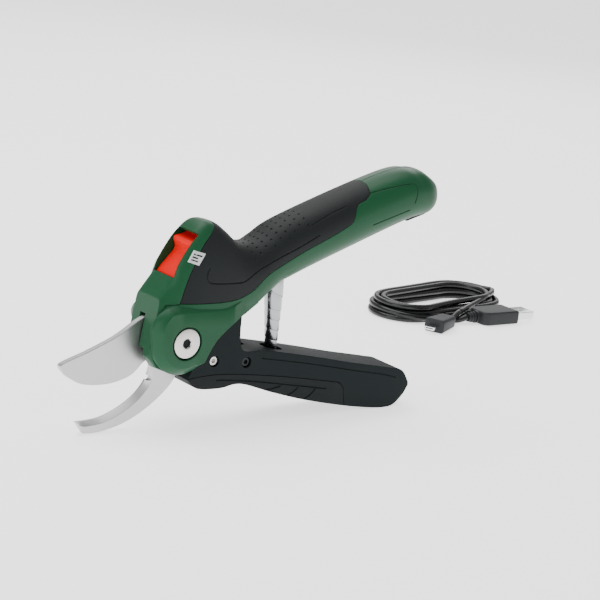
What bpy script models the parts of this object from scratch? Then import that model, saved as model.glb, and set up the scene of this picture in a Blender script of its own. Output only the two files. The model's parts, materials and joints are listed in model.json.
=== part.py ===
"""Battery electric pruner: two-part shell with a soft grip, a fixed hook blade, an upper blade that is one
piece with the squeeze lever, a screw drive inside the handle, and the loose charging cable.

Shapes are worked out in millimetres in the tool's own frame and stored in metres. The pivot bolt's axis is
the origin, +X runs back along the handle, -X towards the blades, +Z is up and -Y is the tool's left side.
"""
import bpy
import bmesh
from math import atan2, cos, degrees, hypot, pi, radians, sin
from mathutils import Matrix, Vector

MM = 0.001

# ---- driving dimensions, millimetres and degrees ----
GAP = 0.3                    # between pieces that touch
HANDLE_LENGTH = 98.0         # from the back of the neck to the start of the rear end
HANDLE_HALF_WIDTH = 14.5
HANDLE_PITCH = 11.75         # slope of the drive axis and of the handle
HEAD_HALF_WIDTH = 17.0       # outside of the cheeks
NOSE_HALF_WIDTH = 9.6
CHEEK_RADIUS = 16.4
CHEEK_INNER = 11.0           # where the raised cheeks begin
WALL = 2.0
SKIN = 1.8                   # soft grip over the shell
BAY_HALF_WIDTH = 12.0        # room between the cheeks for the lever's root
SQUEEZE = 28.0               # lever travel
BLADE_THICKNESS = 3.0
HOOK_THICKNESS = 4.0
BOLT_DIAMETER = 8.0
BOLT_HEAD_DIAMETER = 14.4
BUSH_WALL = 1.2
RUNNING = 0.25               # radial room round a turning piece
PIN_ARM = 16.0               # from the pivot to the drive pin, which is also the drive axis's height
PIN_DIAMETER = 4.0
PIN_LAG = 23.75              # angle of the drive pin behind the perpendicular when the blades are open
CARRIER_THICKNESS = 2.5
COVER_THICKNESS = 1.2
SCREW_DIAMETER = 5.0
GEAR_MODULE = 0.45
SUN_TEETH = 12
PLANET_TEETH = 12
GEAR_WIDTH = 5.0
MOTOR_DIAMETER = 19.0
MOTOR_LENGTH = 26.0
CELL_DIAMETER = 18.4
CELL_LENGTH = 65.0
CELL_CLEARANCE = 0.6
LEVER_HALF_WIDTH = 11.2
SPRING_DIAMETER = 9.6
WINDOW_HALF_WIDTH = 8.2      # pocket of the lock slider
SLIDER_TRAVEL = 2.5
CABLE_DIAMETER = 3.6
COIL_LENGTH = 100.0
COIL_WIDTH = 45.0
COIL_HEIGHT = 11.0
COIL_BAND = 12.5

# ---- sizes that follow ----
HANDLE_HALF_DEPTH = CELL_DIAMETER / 2 + CELL_CLEARANCE + WALL + SKIN + GAP
RING_TEETH = SUN_TEETH + 2 * PLANET_TEETH
CARRIER_RADIUS = GEAR_MODULE * (SUN_TEETH + PLANET_TEETH) / 2
RING_PITCH_RADIUS = GEAR_MODULE * RING_TEETH / 2
RING_OUTER = RING_PITCH_RADIUS + 1.7
DRIVE_BORE = max(CELL_DIAMETER / 2, MOTOR_DIAMETER / 2, RING_OUTER) + CELL_CLEARANCE
BUSH_OUTER = BOLT_DIAMETER / 2 + RUNNING + BUSH_WALL
BLADE_HUB = BUSH_OUTER + RUNNING + 4.2

# places along the drive axis, from the foot of the pivot's perpendicular
PIN_REST = PIN_ARM * sin(radians(PIN_LAG))
NUT_STROKE = PIN_REST + PIN_ARM * sin(radians(SQUEEZE - PIN_LAG))
PIN_DROP = PIN_ARM * (1 - cos(radians(PIN_LAG)))
PIN_BOSS = PIN_DIAMETER / 2 + 1.5
NUT_FRONT = PIN_REST - PIN_BOSS
ARM_ROOM_BACK = PIN_REST + PIN_BOSS + 0.6
NUT_SOCKET = ARM_ROOM_BACK + 1.2
NUT_BACK = NUT_SOCKET + NUT_STROKE + 6.9
BEARING_FRONT = NUT_BACK + 1.5
BEARING_BACK = BEARING_FRONT + 4.0
CARRIER_FRONT = BEARING_BACK + 5.0
PLANET_FRONT = CARRIER_FRONT + CARRIER_THICKNESS + GAP
RING_FRONT = CARRIER_FRONT - GAP
RING_BACK = PLANET_FRONT + GEAR_WIDTH + 1.5
MOTOR_FRONT = RING_BACK + COVER_THICKNESS + 2 * GAP
MOTOR_BACK = MOTOR_FRONT + MOTOR_LENGTH
CELL_FRONT = MOTOR_BACK + 2.4
CELL_BACK = CELL_FRONT + CELL_LENGTH
BOARD_PLACE = CELL_BACK + 2.0

COLOURS = {
    "green_shell": ((0.025, 0.128, 0.058, 1), 0.42, 0.0),
    "soft_grip": ((0.012, 0.017, 0.018, 1), 0.6, 0.0),
    "red_slider": ((0.80, 0.030, 0.022, 1), 0.35, 0.0),
    "black_plastic": ((0.018, 0.025, 0.027, 1), 0.5, 0.0),
    "blade_steel": ((0.55, 0.55, 0.55, 1), 0.3, 1.0),
    "bolt_steel": ((0.50, 0.50, 0.50, 1), 0.35, 1.0),
    "spring_steel": ((0.35, 0.36, 0.37, 1), 0.35, 1.0),
    "plated_steel": ((0.62, 0.62, 0.62, 1), 0.25, 1.0),
    "brass": ((0.60, 0.42, 0.15, 1), 0.35, 1.0),
    "gear_nylon": ((0.75, 0.73, 0.66, 1), 0.5, 0.0),
    "cell_wrap": ((0.03, 0.16, 0.42, 1), 0.4, 0.0),
    "board_green": ((0.02, 0.18, 0.08, 1), 0.45, 0.0),
    "cable_black": ((0.012, 0.013, 0.014, 1), 0.3, 0.0),
    "plug_black": ((0.03, 0.034, 0.038, 1), 0.55, 0.0),
}

for old in list(bpy.data.objects):
    bpy.data.objects.remove(old)

tool = bpy.data.objects.new("tool_frame", None)
bpy.context.collection.objects.link(tool)
MATERIALS = {}
NODES = {}


def material(name):
    if name not in MATERIALS:
        colour, roughness, metallic = COLOURS[name]
        made = bpy.data.materials.new(name)
        made.use_nodes = True
        shader = made.node_tree.nodes["Principled BSDF"]
        shader.inputs["Base Color"].default_value = colour
        shader.inputs["Roughness"].default_value = roughness
        shader.inputs["Metallic"].default_value = metallic
        MATERIALS[name] = made
    return MATERIALS[name]


def add(name, bm, finish=None, matrix=Matrix(), origin=(0, 0, 0), parent=tool):
    """Make an object of a bmesh in millimetres; its origin goes to a place in the parent's frame."""
    bmesh.ops.transform(bm, matrix=matrix, verts=bm.verts)
    bmesh.ops.translate(bm, vec=-Vector(origin), verts=bm.verts)
    bmesh.ops.scale(bm, vec=(MM, MM, MM), verts=bm.verts)
    bmesh.ops.recalc_face_normals(bm, faces=bm.faces)
    mesh = bpy.data.meshes.new(name)
    bm.to_mesh(mesh)
    bm.free()
    obj = bpy.data.objects.new(name, mesh)
    bpy.context.collection.objects.link(obj)
    obj.parent = parent
    obj.location = Vector(origin) * MM
    if finish:
        mesh.materials.append(material(finish))
        mesh.shade_smooth()
        mesh.set_sharp_from_angle(angle=radians(35))
        NODES[name] = obj
    else:
        obj.hide_render = True
        obj.display_type = "WIRE"
    return obj


def combine(obj, other, operation):
    modifier = obj.modifiers.new(operation.lower() + "_" + other.name, "BOOLEAN")
    modifier.object = other
    modifier.operation = operation


def cut(obj, *others):
    for other in others:
        combine(obj, other, "DIFFERENCE")


# ---- outlines ----
def arc(centre, radius, start, end, steps):
    """Points of an arc in the side view, angles in degrees from +X towards +Z."""
    turns = [radians(start + (end - start) * i / steps) for i in range(steps + 1)]
    return [(centre[0] + radius * cos(t), centre[1] + radius * sin(t)) for t in turns]


def smooth(points, steps):
    """Catmull-Rom curve through the points, with the given number of steps on each stretch."""
    ends = [points[0]] + list(points) + [points[-1]]
    curve = []
    for i in range(1, len(ends) - 2):
        a, b, c, d = (Vector(p) for p in ends[i - 1:i + 3])
        for k in range(steps):
            t = k / steps
            curve.append(0.5 * (2 * b + (c - a) * t + (2 * a - 5 * b + 4 * c - d) * t * t
                                + (3 * b - a - 3 * c + d) * t ** 3))
    curve.append(Vector(points[-1]))
    return curve


def prism(outline, low, high):
    """A side-view outline made solid between two values of Y."""
    bm = bmesh.new()
    face = bm.faces.new([bm.verts.new((p[0], low, p[1])) for p in outline])
    made = bmesh.ops.extrude_face_region(bm, geom=[face])
    moved = [v for v in made["geom"] if isinstance(v, bmesh.types.BMVert)]
    bmesh.ops.translate(bm, vec=(0, high - low, 0), verts=moved)
    bmesh.ops.recalc_face_normals(bm, faces=bm.faces)
    return bm


def rounded(bm, width, segments=2, only=None):
    """Bevel the long edges of a prism, or those that a test picks."""
    edges = [e for e in bm.edges if only is None or only(e)]
    bmesh.ops.bevel(bm, geom=edges, offset=width, affect="EDGES", segments=segments, profile=0.5,
                    material=-1,
                    clamp_overlap=True)
    return bm


def rim_edge(edge):
    """True for an edge of a prism's flat sides."""
    return abs(edge.verts[0].co.y - edge.verts[1].co.y) < 0.001


def box(size, centre=(0, 0, 0)):
    bm = bmesh.new()
    bmesh.ops.create_cube(bm, size=1.0)
    bmesh.ops.scale(bm, vec=size, verts=bm.verts)
    bmesh.ops.translate(bm, vec=centre, verts=bm.verts)
    return bm


def turned(profile, steps=28):
    """Spin (radius, height) points about the local Z axis; a bore is a profile that closes on itself."""
    bm = bmesh.new()
    verts = [bm.verts.new((r, 0, h)) for r, h in profile]
    edges = [bm.edges.new(pair) for pair in zip(verts, verts[1:])]
    if profile[0][0] > 0:
        edges.append(bm.edges.new((verts[-1], verts[0])))
    bmesh.ops.spin(bm, geom=verts + edges, cent=(0, 0, 0), axis=(0, 0, 1), angle=2 * pi, steps=steps,
                   use_merge=True)
    bmesh.ops.remove_doubles(bm, verts=bm.verts, dist=0.0001)
    return bm


def disc(radius, low, high, steps=28):
    return turned([(0, low), (radius, low), (radius, high), (0, high)], steps)


def tube(inner, outer, low, high, steps=28):
    return turned([(inner, low), (outer, low), (outer, high), (inner, high)], steps)


def loft(rings):
    """Skin a row of rings with the same number of points, and cap both ends."""
    bm = bmesh.new()
    loops = []
    for points in rings:
        verts = [bm.verts.new(p) for p in points]
        loops.append((verts, [bm.edges.new((a, b)) for a, b in zip(verts, verts[1:] + verts[:1])]))
    for (_, first), (_, second) in zip(loops, loops[1:]):
        bmesh.ops.bridge_loops(bm, edges=first + second)
    bm.faces.new(loops[0][0])
    bm.faces.new(loops[-1][0])
    bmesh.ops.recalc_face_normals(bm, faces=bm.faces)
    return bm


def toothed(teeth, low, high, phase, inner, outer, root, tip):
    """Toothed prism about the local Z axis: radii from the pitch circle, half tooth widths as shares of a pitch."""
    pitch = GEAR_MODULE * teeth / 2
    step = 2 * pi / teeth
    outline = []
    for i in range(teeth):
        for radius, part in ((inner, -root), (outer, -tip), (outer, tip), (inner, root)):
            turn = i * step + phase + part * step
            reach = pitch + radius * GEAR_MODULE
            outline.append((reach * cos(turn), reach * sin(turn)))
    bm = prism(outline, low, high)
    bmesh.ops.rotate(bm, cent=(0, 0, 0), matrix=Matrix.Rotation(pi / 2, 3, "X"), verts=bm.verts)
    return bm


def gear(teeth, low, high, phase=0.0):
    """Spur gear with slim straight-sided teeth."""
    return toothed(teeth, low, high, phase, -1.15, 0.8, 0.30, 0.10)


# ---- the drive axis ----
SLOPE = radians(HANDLE_PITCH)
ALONG = Vector((cos(SLOPE), 0, sin(SLOPE)))
ABOVE = Vector((-sin(SLOPE), 0, cos(SLOPE)))
DRIVE = Matrix((
    (ABOVE.x, 0, ALONG.x, ABOVE.x * PIN_ARM),
    (0, -1, 0, 0),
    (ABOVE.z, 0, ALONG.z, ABOVE.z * PIN_ARM),
    (0, 0, 0, 1)))
ACROSS = Matrix.Rotation(pi / 2, 4, "X")       # local Z to -Y, for pieces turned about the pivot


def drive(place, height=0.0):
    """Side-view point at a place along the drive axis and a height above it."""
    point = ALONG * place + ABOVE * (PIN_ARM + height)
    return point.x, point.z


# ---- body form ----
NECK = 46.0
REAR = NECK + HANDLE_LENGTH


def station(top, bottom, w_top, w_bottom, n_top, n_bottom):
    return {"top": Vector((top[0], 0, top[1])), "bottom": Vector((bottom[0], 0, bottom[1])),
            "w": (w_top, w_bottom), "n": (n_top, n_bottom)}


def handle_station(x, top_room, bottom_room, half_width, squareness=2.3):
    """A section square to the drive axis, at a place given by its X on that axis."""
    centre = ALONG * ((x + PIN_ARM * sin(SLOPE)) / cos(SLOPE)) + ABOVE * PIN_ARM
    top = centre + ABOVE * (HANDLE_HALF_DEPTH + top_room)
    bottom = centre - ABOVE * (HANDLE_HALF_DEPTH + bottom_room)
    return station((top.x, top.z), (bottom.x, bottom.z), half_width, half_width, squareness, squareness)


W = HEAD_HALF_WIDTH - 0.2
H = HANDLE_HALF_WIDTH
NOSE = [
    station((-9.7, 22.2), (-17.4, -5.0), NOSE_HALF_WIDTH, NOSE_HALF_WIDTH, 9, 9),
    station((-5.7, 26.3), (-14.0, -11.0), NOSE_HALF_WIDTH, 13.5, 9, 7),
    station((-1.5, 30.5), (-9.0, -14.0), 9.5, W, 9, 6),
    station((0.9, 36.4), (-4.0, -15.2), 9.8, W, 7, 6),
]
HEAD = [
    station((5.4, 42.4), (0.0, -15.6), 10.2, W, 6, 6),
    station((11.0, 48.6), (4.5, -14.8), 10.6, W, 5, 6),
    station((18.0, 53.3), (10.0, -11.0), 11.0, W, 4, 6),
    station((25.4, 51.6), (16.5, -5.6), 11.6, W, 3.2, 5),
    station((31.5, 46.4), (24.0, -0.6), 12.4, W - 0.3, 2.8, 4.5),
    station((38.0, 40.0), (33.0, 2.6), 13.2, W - 0.9, 2.5, 3.6),
    station((46.0, 37.9), (43.5, 5.8), 14.0, H + 0.6, 2.3, 2.8),
]
GRIP = [
    handle_station(NECK + 0.10 * HANDLE_LENGTH, -1.9, 0.5, H, 2.4),
    handle_station(NECK + 0.19 * HANDLE_LENGTH, 0.4, 0.1, H),
    handle_station(NECK + 0.33 * HANDLE_LENGTH, 1.0, -0.3, H),
    handle_station(NECK + 0.60 * HANDLE_LENGTH, 0.9, -0.5, H),
    handle_station(NECK + 0.85 * HANDLE_LENGTH, 0.1, -0.5, H),
]


def rear_station(back, top, bottom, half_width, squareness=2.4):
    """A section of the rear end, given from the end of the handle on the drive axis."""
    foot = ALONG * (REAR / cos(SLOPE) + back) + ABOVE * PIN_ARM
    high = foot + ABOVE * (top * HANDLE_HALF_DEPTH)
    low = foot - ABOVE * (bottom * HANDLE_HALF_DEPTH)
    return station((high.x, high.z), (low.x, low.z), half_width, half_width, squareness, squareness)


TAIL = [
    rear_station(1.0, 0.90, 0.99, H - 0.1),
    rear_station(7.0, 0.75, 1.08, H - 0.8),
    rear_station(11.5, 0.61, 1.08, H - 1.8),
    rear_station(15.4, 0.32, 0.97, H - 4.2),
    rear_station(19.0, 0.0, 0.70, H - 8.0),
    rear_station(20.3, -0.18, 0.50, H - 11.0),
]
SIDE_POINTS = 11
TAPER = 2.2                  # how late the sides draw in towards the top


def section(one, inset):
    """Ring of a station: a rounded, tapering outline between its top and bottom points."""
    middle = (one["top"] + one["bottom"]) / 2
    half = (one["top"] - one["bottom"]) / 2
    reach = half.length
    ring = []
    for i in range(2 * SIDE_POINTS):
        turn = pi * i / SIDE_POINTS
        high = cos(turn)
        side = sin(turn)
        power = 2 / (one["n"][0] if high > 0 else one["n"][1])
        up = abs(high) ** power * (1 if high > 0 else -1)
        out = abs(side) ** power * (1 if side > 0 else -1)
        width = one["w"][1] + (one["w"][0] - one["w"][1]) * ((up + 1) / 2) ** TAPER
        point = middle + half * (up * (reach - inset) / reach)
        point.y = out * (width - inset)
        ring.append(point)
    return ring


def between(a, b, c, d, t):
    """Catmull-Rom blend of four rings."""
    return [0.5 * (2 * q + (r - p) * t + (2 * p - 5 * q + 4 * r - s) * t * t + (3 * q - p - 3 * r + s) * t ** 3)
            for p, q, r, s in zip(a, b, c, d)]


def body(inset=0.0):
    """The outer form of head and handle, or the same form drawn in by an inset."""
    nose = [section(one, inset) for one in NOSE]
    rest = [section(one, inset) for one in HEAD + GRIP + TAIL]
    rings = nose[:-1]
    known = nose[-1:] + rest
    known = [known[0]] + known + [known[-1]]
    for i in range(1, len(known) - 2):
        rings.append(known[i])
        rings.append(between(*known[i - 1:i + 3], 0.5))
    rings.append(known[-2])
    return loft(rings)


# side-view outlines of the pieces' borders
CHEEK = (arc((0, 0), CHEEK_RADIUS, -150, -50, 10)
         + [(18.0, -3.0), (30.0, 4.6), (36.0, 7.4), (36.0, 16.8), (9.2, 17.4), (-1.0, 18.6), (-8.0, 18.0)]
         + arc((-4.6, 5.6), 12.2, 118, 170, 5) + [(-CHEEK_RADIUS, -1.0)])
GRIP_EDGE = [(23.0, 60.0), (23.6, 51.0), (14.6, 44.6), (8.2, 36.0), (3.2, 28.0), (-1.2, 19.2), (9.2, 17.6),
             (22.9, 15.9),
             (32.2, 16.0), (40.4, 18.4), (48.6, 23.6), (61.3, 28.2), (73.3, 32.0), (85.5, 35.2)]
GRIP_END = [(0.53, 5.4), (0.60, 3.6), (0.625, 5.0), (0.66, 9.6), (0.69, 13.2), (0.69, 24.0)]


def grip_outline(inset):
    """Side view of the soft grip, with its rear end tied to the handle's length."""
    points = [Vector(p) for p in GRIP_EDGE]
    for share, height in GRIP_END:
        x, z = drive((NECK + share * HANDLE_LENGTH) / cos(SLOPE), height - 6.2)
        points.append(Vector((x, z)))
    points.append(Vector((60.0, 75.0)))
    return offset(points, inset)


def offset(points, distance):
    """Move each side of a closed outline inwards (negative: outwards) by a distance."""
    points = [Vector((p[0], p[1])) for p in points]
    area = sum(a.x * b.y - b.x * a.y for a, b in zip(points, points[1:] + points[:1]))
    sign = 1 if area > 0 else -1
    moved = []
    for a, b, c in zip(points[-1:] + points[:-1], points, points[1:] + points[:1]):
        first = (b - a).normalized()
        second = (c - b).normalized()
        inward = (Vector((-first.y, first.x)) + Vector((-second.y, second.x))) * sign
        moved.append(b + inward * (distance / max(0.5, inward.length_squared / 2)))
    return moved


WIDE = 40.0
# ---- cutters shared by the housing pieces ----
head_points = offset(grip_outline(0.0), -GAP)
HEAD_REGION = [(-WIDE, -WIDE), (-7.8, -WIDE), (-7.8,
                                               19.0)] + [tuple(p) for p in head_points[5::-1]] + [(-WIDE,
                                                                                                   75.0)]
WINDOW_LOW = Vector((-1.3, 30.3))          # lower end of the slider's window, on the nose's upper face
WINDOW_SLOPE = radians(46.0)
WINDOW_LENGTH = 23.5
POCKET_DEPTH = 6.5
PORT_PLACE = REAR / cos(SLOPE) + 4.5
PORT_HALF = (6.0, 4.6)                     # half length and half width of the socket's cover

head_region = add("cut_head_region", prism(HEAD_REGION, -WIDE, WIDE))
head_region_grown = add("cut_head_region_grown", prism(offset(HEAD_REGION, -GAP), -WIDE, WIDE))
grip_region = add("cut_grip_region", prism(grip_outline(0.0), -WIDE, WIDE))
grip_inside = add("cut_grip_inside", body(SKIN))
shell_outside = add("cut_shell_outside", prism(grip_outline(-GAP), -WIDE, WIDE))
cut(shell_outside, add("cut_shell_core", body(SKIN + GAP)))

BAY = [(-7.5, -WIDE), (-7.5, 13.0), (16.0, 13.0), (22.0, 20.6), (36.0, 20.6), (44.0, 16.0), (56.5, 13.4),
       (56.5, -WIDE)]
MECHANISM = [(-7.5, 12.0), (-7.5, 19.4), (2.0, 21.6), (14.0, 31.0), (20.0, 35.0), (30.0, 36.5), (42.0, 33.0),
             (42.0, 12.0)]
bay = add("cut_bay", prism(BAY, -BAY_HALF_WIDTH, BAY_HALF_WIDTH))
mechanism = add("cut_mechanism", prism(MECHANISM, -8.8, 8.8))
drive_room = add("cut_drive_room", disc(DRIVE_BORE, BEARING_BACK + 1.0, CELL_BACK + 1.0), None, DRIVE)
rear_room = add("cut_rear_room", box((13.0, 15.0, 14.0), (-2.5, 0, CELL_BACK + 6.0)), None, DRIVE)
SPRING_FOOT = Vector((60.2, 0, -22.0))
SPRING_LENGTH = 40.0
SPRING_RADIUS = SPRING_DIAMETER / 2
SPRING_FOOT_RADIUS = 3.0
SEAT_RADIUS = SPRING_RADIUS + 0.9


def lower_hull_angle(points_a, points_b):
    """Pitch that brings the lowest points of two groups to the same height."""
    angle = 0.0
    for _ in range(12):
        turn = Matrix.Rotation(-angle, 3, "Y")
        a = min((turn @ p for p in points_a), key=lambda p: p.z)
        b = min((turn @ p for p in points_b), key=lambda p: p.z)
        angle -= atan2(b.z - a.z, b.x - a.x)
    return angle


# ---- blades ----
UPPER_EDGE = smooth([(-14.5, -11.5), (-21.4, -16.1), (-33.6, -17.4), (-47.7, -14.3), (-57.1, -7.6)], 4)
UPPER_SPINE = smooth([(-58.6, -4.6), (-57.6, -2.0), (-43.7, 0.8), (-28.3, 4.8), (-16.0, 10.2),
                      (-8.0, 12.4)], 3)
HOOK_OUTER = smooth([(-50.3, -37.1), (-41.2, -38.4), (-27.9, -37.2), (-14.3, -32.3), (-1.7, -24.2),
                     (6.0, -14.0)], 4)
HOOK_INNER = smooth([(-9.0, 3.0), (-12.0, -15.0), (-18.0, -23.6), (-27.7, -29.2), (-39.9, -32.3),
                     (-53.0, -31.4)], 4)


def hole(name, radius, centre, low, high, matrix=Matrix(), parent=tool):
    """A round cutter across the tool, from one Y to another."""
    bm = disc(radius, -high, -low, 24)
    return add(name, bm, None, matrix @ Matrix.Translation((centre[0], 0, centre[1])) @ ACROSS,
               parent=parent)


pin_turn = SLOPE + pi / 2 - radians(PIN_LAG)
PIN_CENTRE = (PIN_ARM * cos(pin_turn), PIN_ARM * sin(pin_turn))
TANG_SCREWS = [(19.2, -14.8), (38.0, -19.5)]
SCREW_HEAD_RADIUS = 2.6
SCREW_SHANK_RADIUS = 1.4


def place_of(angle, radius):
    return radius * cos(radians(angle)), radius * sin(radians(angle))


arm_side = degrees(pin_turn)
upper_outline = ([tuple(p) for p in UPPER_EDGE] + [tuple(p) for p in UPPER_SPINE]
                 + [place_of(arm_side + 50, BLADE_HUB)]
                 + arc(PIN_CENTRE, PIN_BOSS, arm_side + 90, arm_side - 90, 8)
                 + arc((0, 0), BLADE_HUB, arm_side - 20, -5, 4)
                 + [(22.0, -9.8), (44.5, -16.5), (44.0, -23.5), (19.0, -18.6), (9.0, -10.5)]
                 + arc((0, 0), BLADE_HUB, -95, -130, 3))
upper_blade = add("upper_blade", prism(upper_outline, 0.15, 0.15 + BLADE_THICKNESS), "blade_steel")
cut(upper_blade, hole("cut_upper_bore", BUSH_OUTER + GAP / 2, (0, 0), -5, 8))
cut(upper_blade, hole("cut_pin_bore", PIN_DIAMETER / 2 + 0.1, PIN_CENTRE, -5, 8))
for number, centre in enumerate(TANG_SCREWS, 1):
    cut(upper_blade, hole(f"cut_tang_bore_{number}", SCREW_SHANK_RADIUS + 0.2, centre, -5, 8))
hook_outline = ([tuple(p) for p in HOOK_OUTER] + [(12.0, -4.0), (15.5, 4.5), (13.4, 9.6), (6.0, 9.2),
                                                  (-3.0, 8.4)]
                + [tuple(p) for p in HOOK_INNER])
hook_blade = add("hook_blade", prism(hook_outline, -0.15 - HOOK_THICKNESS, -0.15), "blade_steel")
cut(hook_blade, hole("cut_hook_bore", BOLT_DIAMETER / 2 + GAP / 2, (0, 0), -9, 5))
ANCHOR_CENTRE = (11.0, 5.4)
ANCHOR_RADIUS = 1.6
cut(hook_blade, hole("cut_anchor_bore", ANCHOR_RADIUS + GAP / 2, ANCHOR_CENTRE, -9, 5))

# ---- lever, one body with the upper blade ----
LEVER_TOP = smooth([(37.0, 1.8), (36.2, -10.6), (49.4, -13.7), (78.0, -23.2), (103.2, -32.6), (126.5, -41.1),
                    (135.4, -45.8), (139.4, -53.0)], 2)
LEVER_LOW = smooth([(139.4, -54.6), (134.5, -60.0), (125.5, -63.4), (103.4, -58.0), (74.3, -47.7),
                    (53.4, -38.7),
                    (34.3, -29.8), (22.1, -29.2), (9.0, -26.4), (3.4, -20.6)], 2)
LEVER_ROOT = [(8.0, -13.5), (16.0, -6.0), (28.0, -0.6)]
PAD_TOP = [(12.0, -20.8), (28.3, -23.4), (58.1, -31.4), (94.0, -42.6), (98.0, -46.0)]
lever_outline = [tuple(p) for p in LEVER_TOP] + [tuple(p) for p in LEVER_LOW] + LEVER_ROOT
LEVER_SOFTENING = 2.2
SOFT_FROM = 39.0             # the lever's edges are rounded behind the cheeks
PAD_DEPTH = 3.4
PAD_ZONE = PAD_TOP + [(98.0, -80.0), (12.0, -80.0)]


def lever_form():
    bm = prism(lever_outline, -LEVER_HALF_WIDTH, LEVER_HALF_WIDTH)
    return rounded(bm, LEVER_SOFTENING, 2,
                   lambda e: rim_edge(e) and max(v.co.x for v in e.verts) > SOFT_FROM)


lever = add("lever", lever_form(), "black_plastic")
pad_room = add("cut_pad_room", prism(offset(PAD_ZONE, -GAP), -WIDE, WIDE))
PAD_CORE = [(10.0, -10.0), (100.0, -30.0), (100.0, -54.2), (88.0, -49.3), (74.3, -44.1), (53.4, -35.2),
            (34.3, -26.3), (22.1, -25.6), (10.0, -24.4)]
pad_reach = LEVER_HALF_WIDTH - PAD_DEPTH
cut(pad_room, add("cut_pad_core", prism(PAD_CORE, -pad_reach, pad_reach)))
cut(lever, pad_room)
lever_pad = add("lever_pad", lever_form(), "black_plastic")
combine(lever_pad, add("cut_pad_zone", prism(PAD_ZONE, -WIDE, WIDE)), "INTERSECT")
pad_inside = prism(offset(PAD_CORE, -GAP), -pad_reach - GAP, pad_reach + GAP)
cut(lever_pad, add("cut_pad_inside", pad_inside))
CHANNEL = [(0.0, 10.0), (0.0, -16.0), (14.0, -12.0), (28.0, -11.2), (36.0, -13.0), (44.0, -8.0),
           (44.0, 10.0)]
CHANNEL_HALF = 9.2
cut(lever, add("cut_lever_channel", prism(CHANNEL, -CHANNEL_HALF, CHANNEL_HALF)))
tang_slot = [(0.0, -8.0), (0.0, -40.0), (19.0, -19.4), (44.6, -24.2), (45.2, -8.0)]
cut(lever, add("cut_tang_slot", prism(tang_slot, 0.15 - GAP, 0.15 + BLADE_THICKNESS + GAP)))
for number, centre in enumerate(TANG_SCREWS, 1):
    cut(lever, hole(f"cut_lever_screw_{number}", SCREW_SHANK_RADIUS + 0.2, centre, -9.3, WIDE))
    cut(lever, hole(f"cut_lever_head_{number}", SCREW_HEAD_RADIUS + GAP, centre, -WIDE, -7.4))
    shank = turned([(0, -8.0), (SCREW_SHANK_RADIUS, -8.0), (SCREW_SHANK_RADIUS, 7.7),
                    (SCREW_HEAD_RADIUS, 7.7),
                    (SCREW_HEAD_RADIUS, 9.3), (0, 9.3)], 16)
    screw = add(f"lever_screw_{number}", shank, "bolt_steel",
                Matrix.Translation((centre[0], 0, centre[1])) @ ACROSS)
    cut(screw, add(f"cut_lever_drive_{number}", box((0.7, 1.4, 3.0), (centre[0], -9.3, centre[1]))))
blade_pin = add("blade_pin", disc(PIN_DIAMETER / 2, -6.0, 2.7, 16), "bolt_steel",
                Matrix.Translation((PIN_CENTRE[0], 0, PIN_CENTRE[1])) @ ACROSS)
BLADE_NEAR = 0.15
BLADE_FAR = BLADE_NEAR + BLADE_THICKNESS
HOOK_NEAR = -BLADE_NEAR - HOOK_THICKNESS
add("pivot_bush", tube(BOLT_DIAMETER / 2 + RUNNING, BUSH_OUTER, -BLADE_FAR + 0.02, -BLADE_NEAR - 0.02, 24),
    "brass",
    ACROSS)

# ---- stance: the tool rests on the hook blade and on the back of the lever ----
flat = [Vector((p[0], 0, p[1])) for p in hook_outline]
PITCH = lower_hull_angle(flat, [Vector((p[0], 0, p[1])) for p in lever_outline])

# ---- return spring and its seats ----
SPRING = Matrix.Translation(SPRING_FOOT) @ Matrix.Rotation(PITCH, 4, "Y")
add("return_spring", turned([(0, 0.3), (SPRING_FOOT_RADIUS, 0.3), (SPRING_FOOT_RADIUS, SPRING_LENGTH * 0.3),
                             (SPRING_RADIUS, SPRING_LENGTH * 0.72), (SPRING_RADIUS, SPRING_LENGTH - 0.3),
                             (0, SPRING_LENGTH - 0.3)], 20), "spring_steel", SPRING)
spring_seat_low = add("cut_spring_seat_low", disc(SEAT_RADIUS, 0, 9.0, 20), None, SPRING)
spring_seat_high = add("cut_spring_seat_high", disc(SEAT_RADIUS, SPRING_LENGTH - 12.0, SPRING_LENGTH, 20),
                       None, SPRING)
cut(lever, spring_seat_low)

# ---- housing ----
head_cover = add("head_cover", body(), "green_shell")
combine(head_cover, head_region, "INTERSECT")
SIDE_NOTCH = [(-WIDE, -WIDE), (4.0, -WIDE), (4.0, 18.9), (-WIDE, 18.9)]
cut(head_cover, add("cut_side_notch_right", prism(SIDE_NOTCH, CHEEK_INNER - GAP, WIDE)))
cut(head_cover, add("cut_side_notch_left", prism(SIDE_NOTCH, -WIDE, GAP - CHEEK_INNER)))
NOSE_ROOM = [(-5.0, 19.4), (-8.6, 19.6), (-14.8, -2.5), (-14.6, -7.0), (-11.0, -14.0), (-9.0, -WIDE),
             (-5.0, -WIDE)]
cut(head_cover, add("cut_nose_room", prism(NOSE_ROOM, -7.8, 7.8)))
blade_slot = [(-WIDE, -WIDE), (-8.0, -WIDE), (-8.0, 13.2), (-WIDE, 13.2)]
cut(head_cover, add("cut_blade_slot", prism(blade_slot, -0.6, BLADE_FAR + 0.6)))
hook_slot = [(-WIDE, -WIDE), (-5.0, -WIDE), (-5.0, -2.0), (-WIDE, -2.0)]
cut(head_cover, add("cut_hook_slot", prism(hook_slot, HOOK_NEAR - 0.6, 0.2)))
cut(head_cover, mechanism, bay)

WINDOW = Matrix((
    (cos(WINDOW_SLOPE), 0, -sin(WINDOW_SLOPE), WINDOW_LOW.x),
    (0, 1, 0, 0),
    (sin(WINDOW_SLOPE), 0, cos(WINDOW_SLOPE), WINDOW_LOW.y),
    (0, 0, 0, 1)))
SLIDER_TOP = smooth([(0.4, -1.2), (5.0, -1.3), (10.0, -1.7), (13.6, -1.9), (15.8, -0.6), (18.0, 1.9)], 2)


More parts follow.
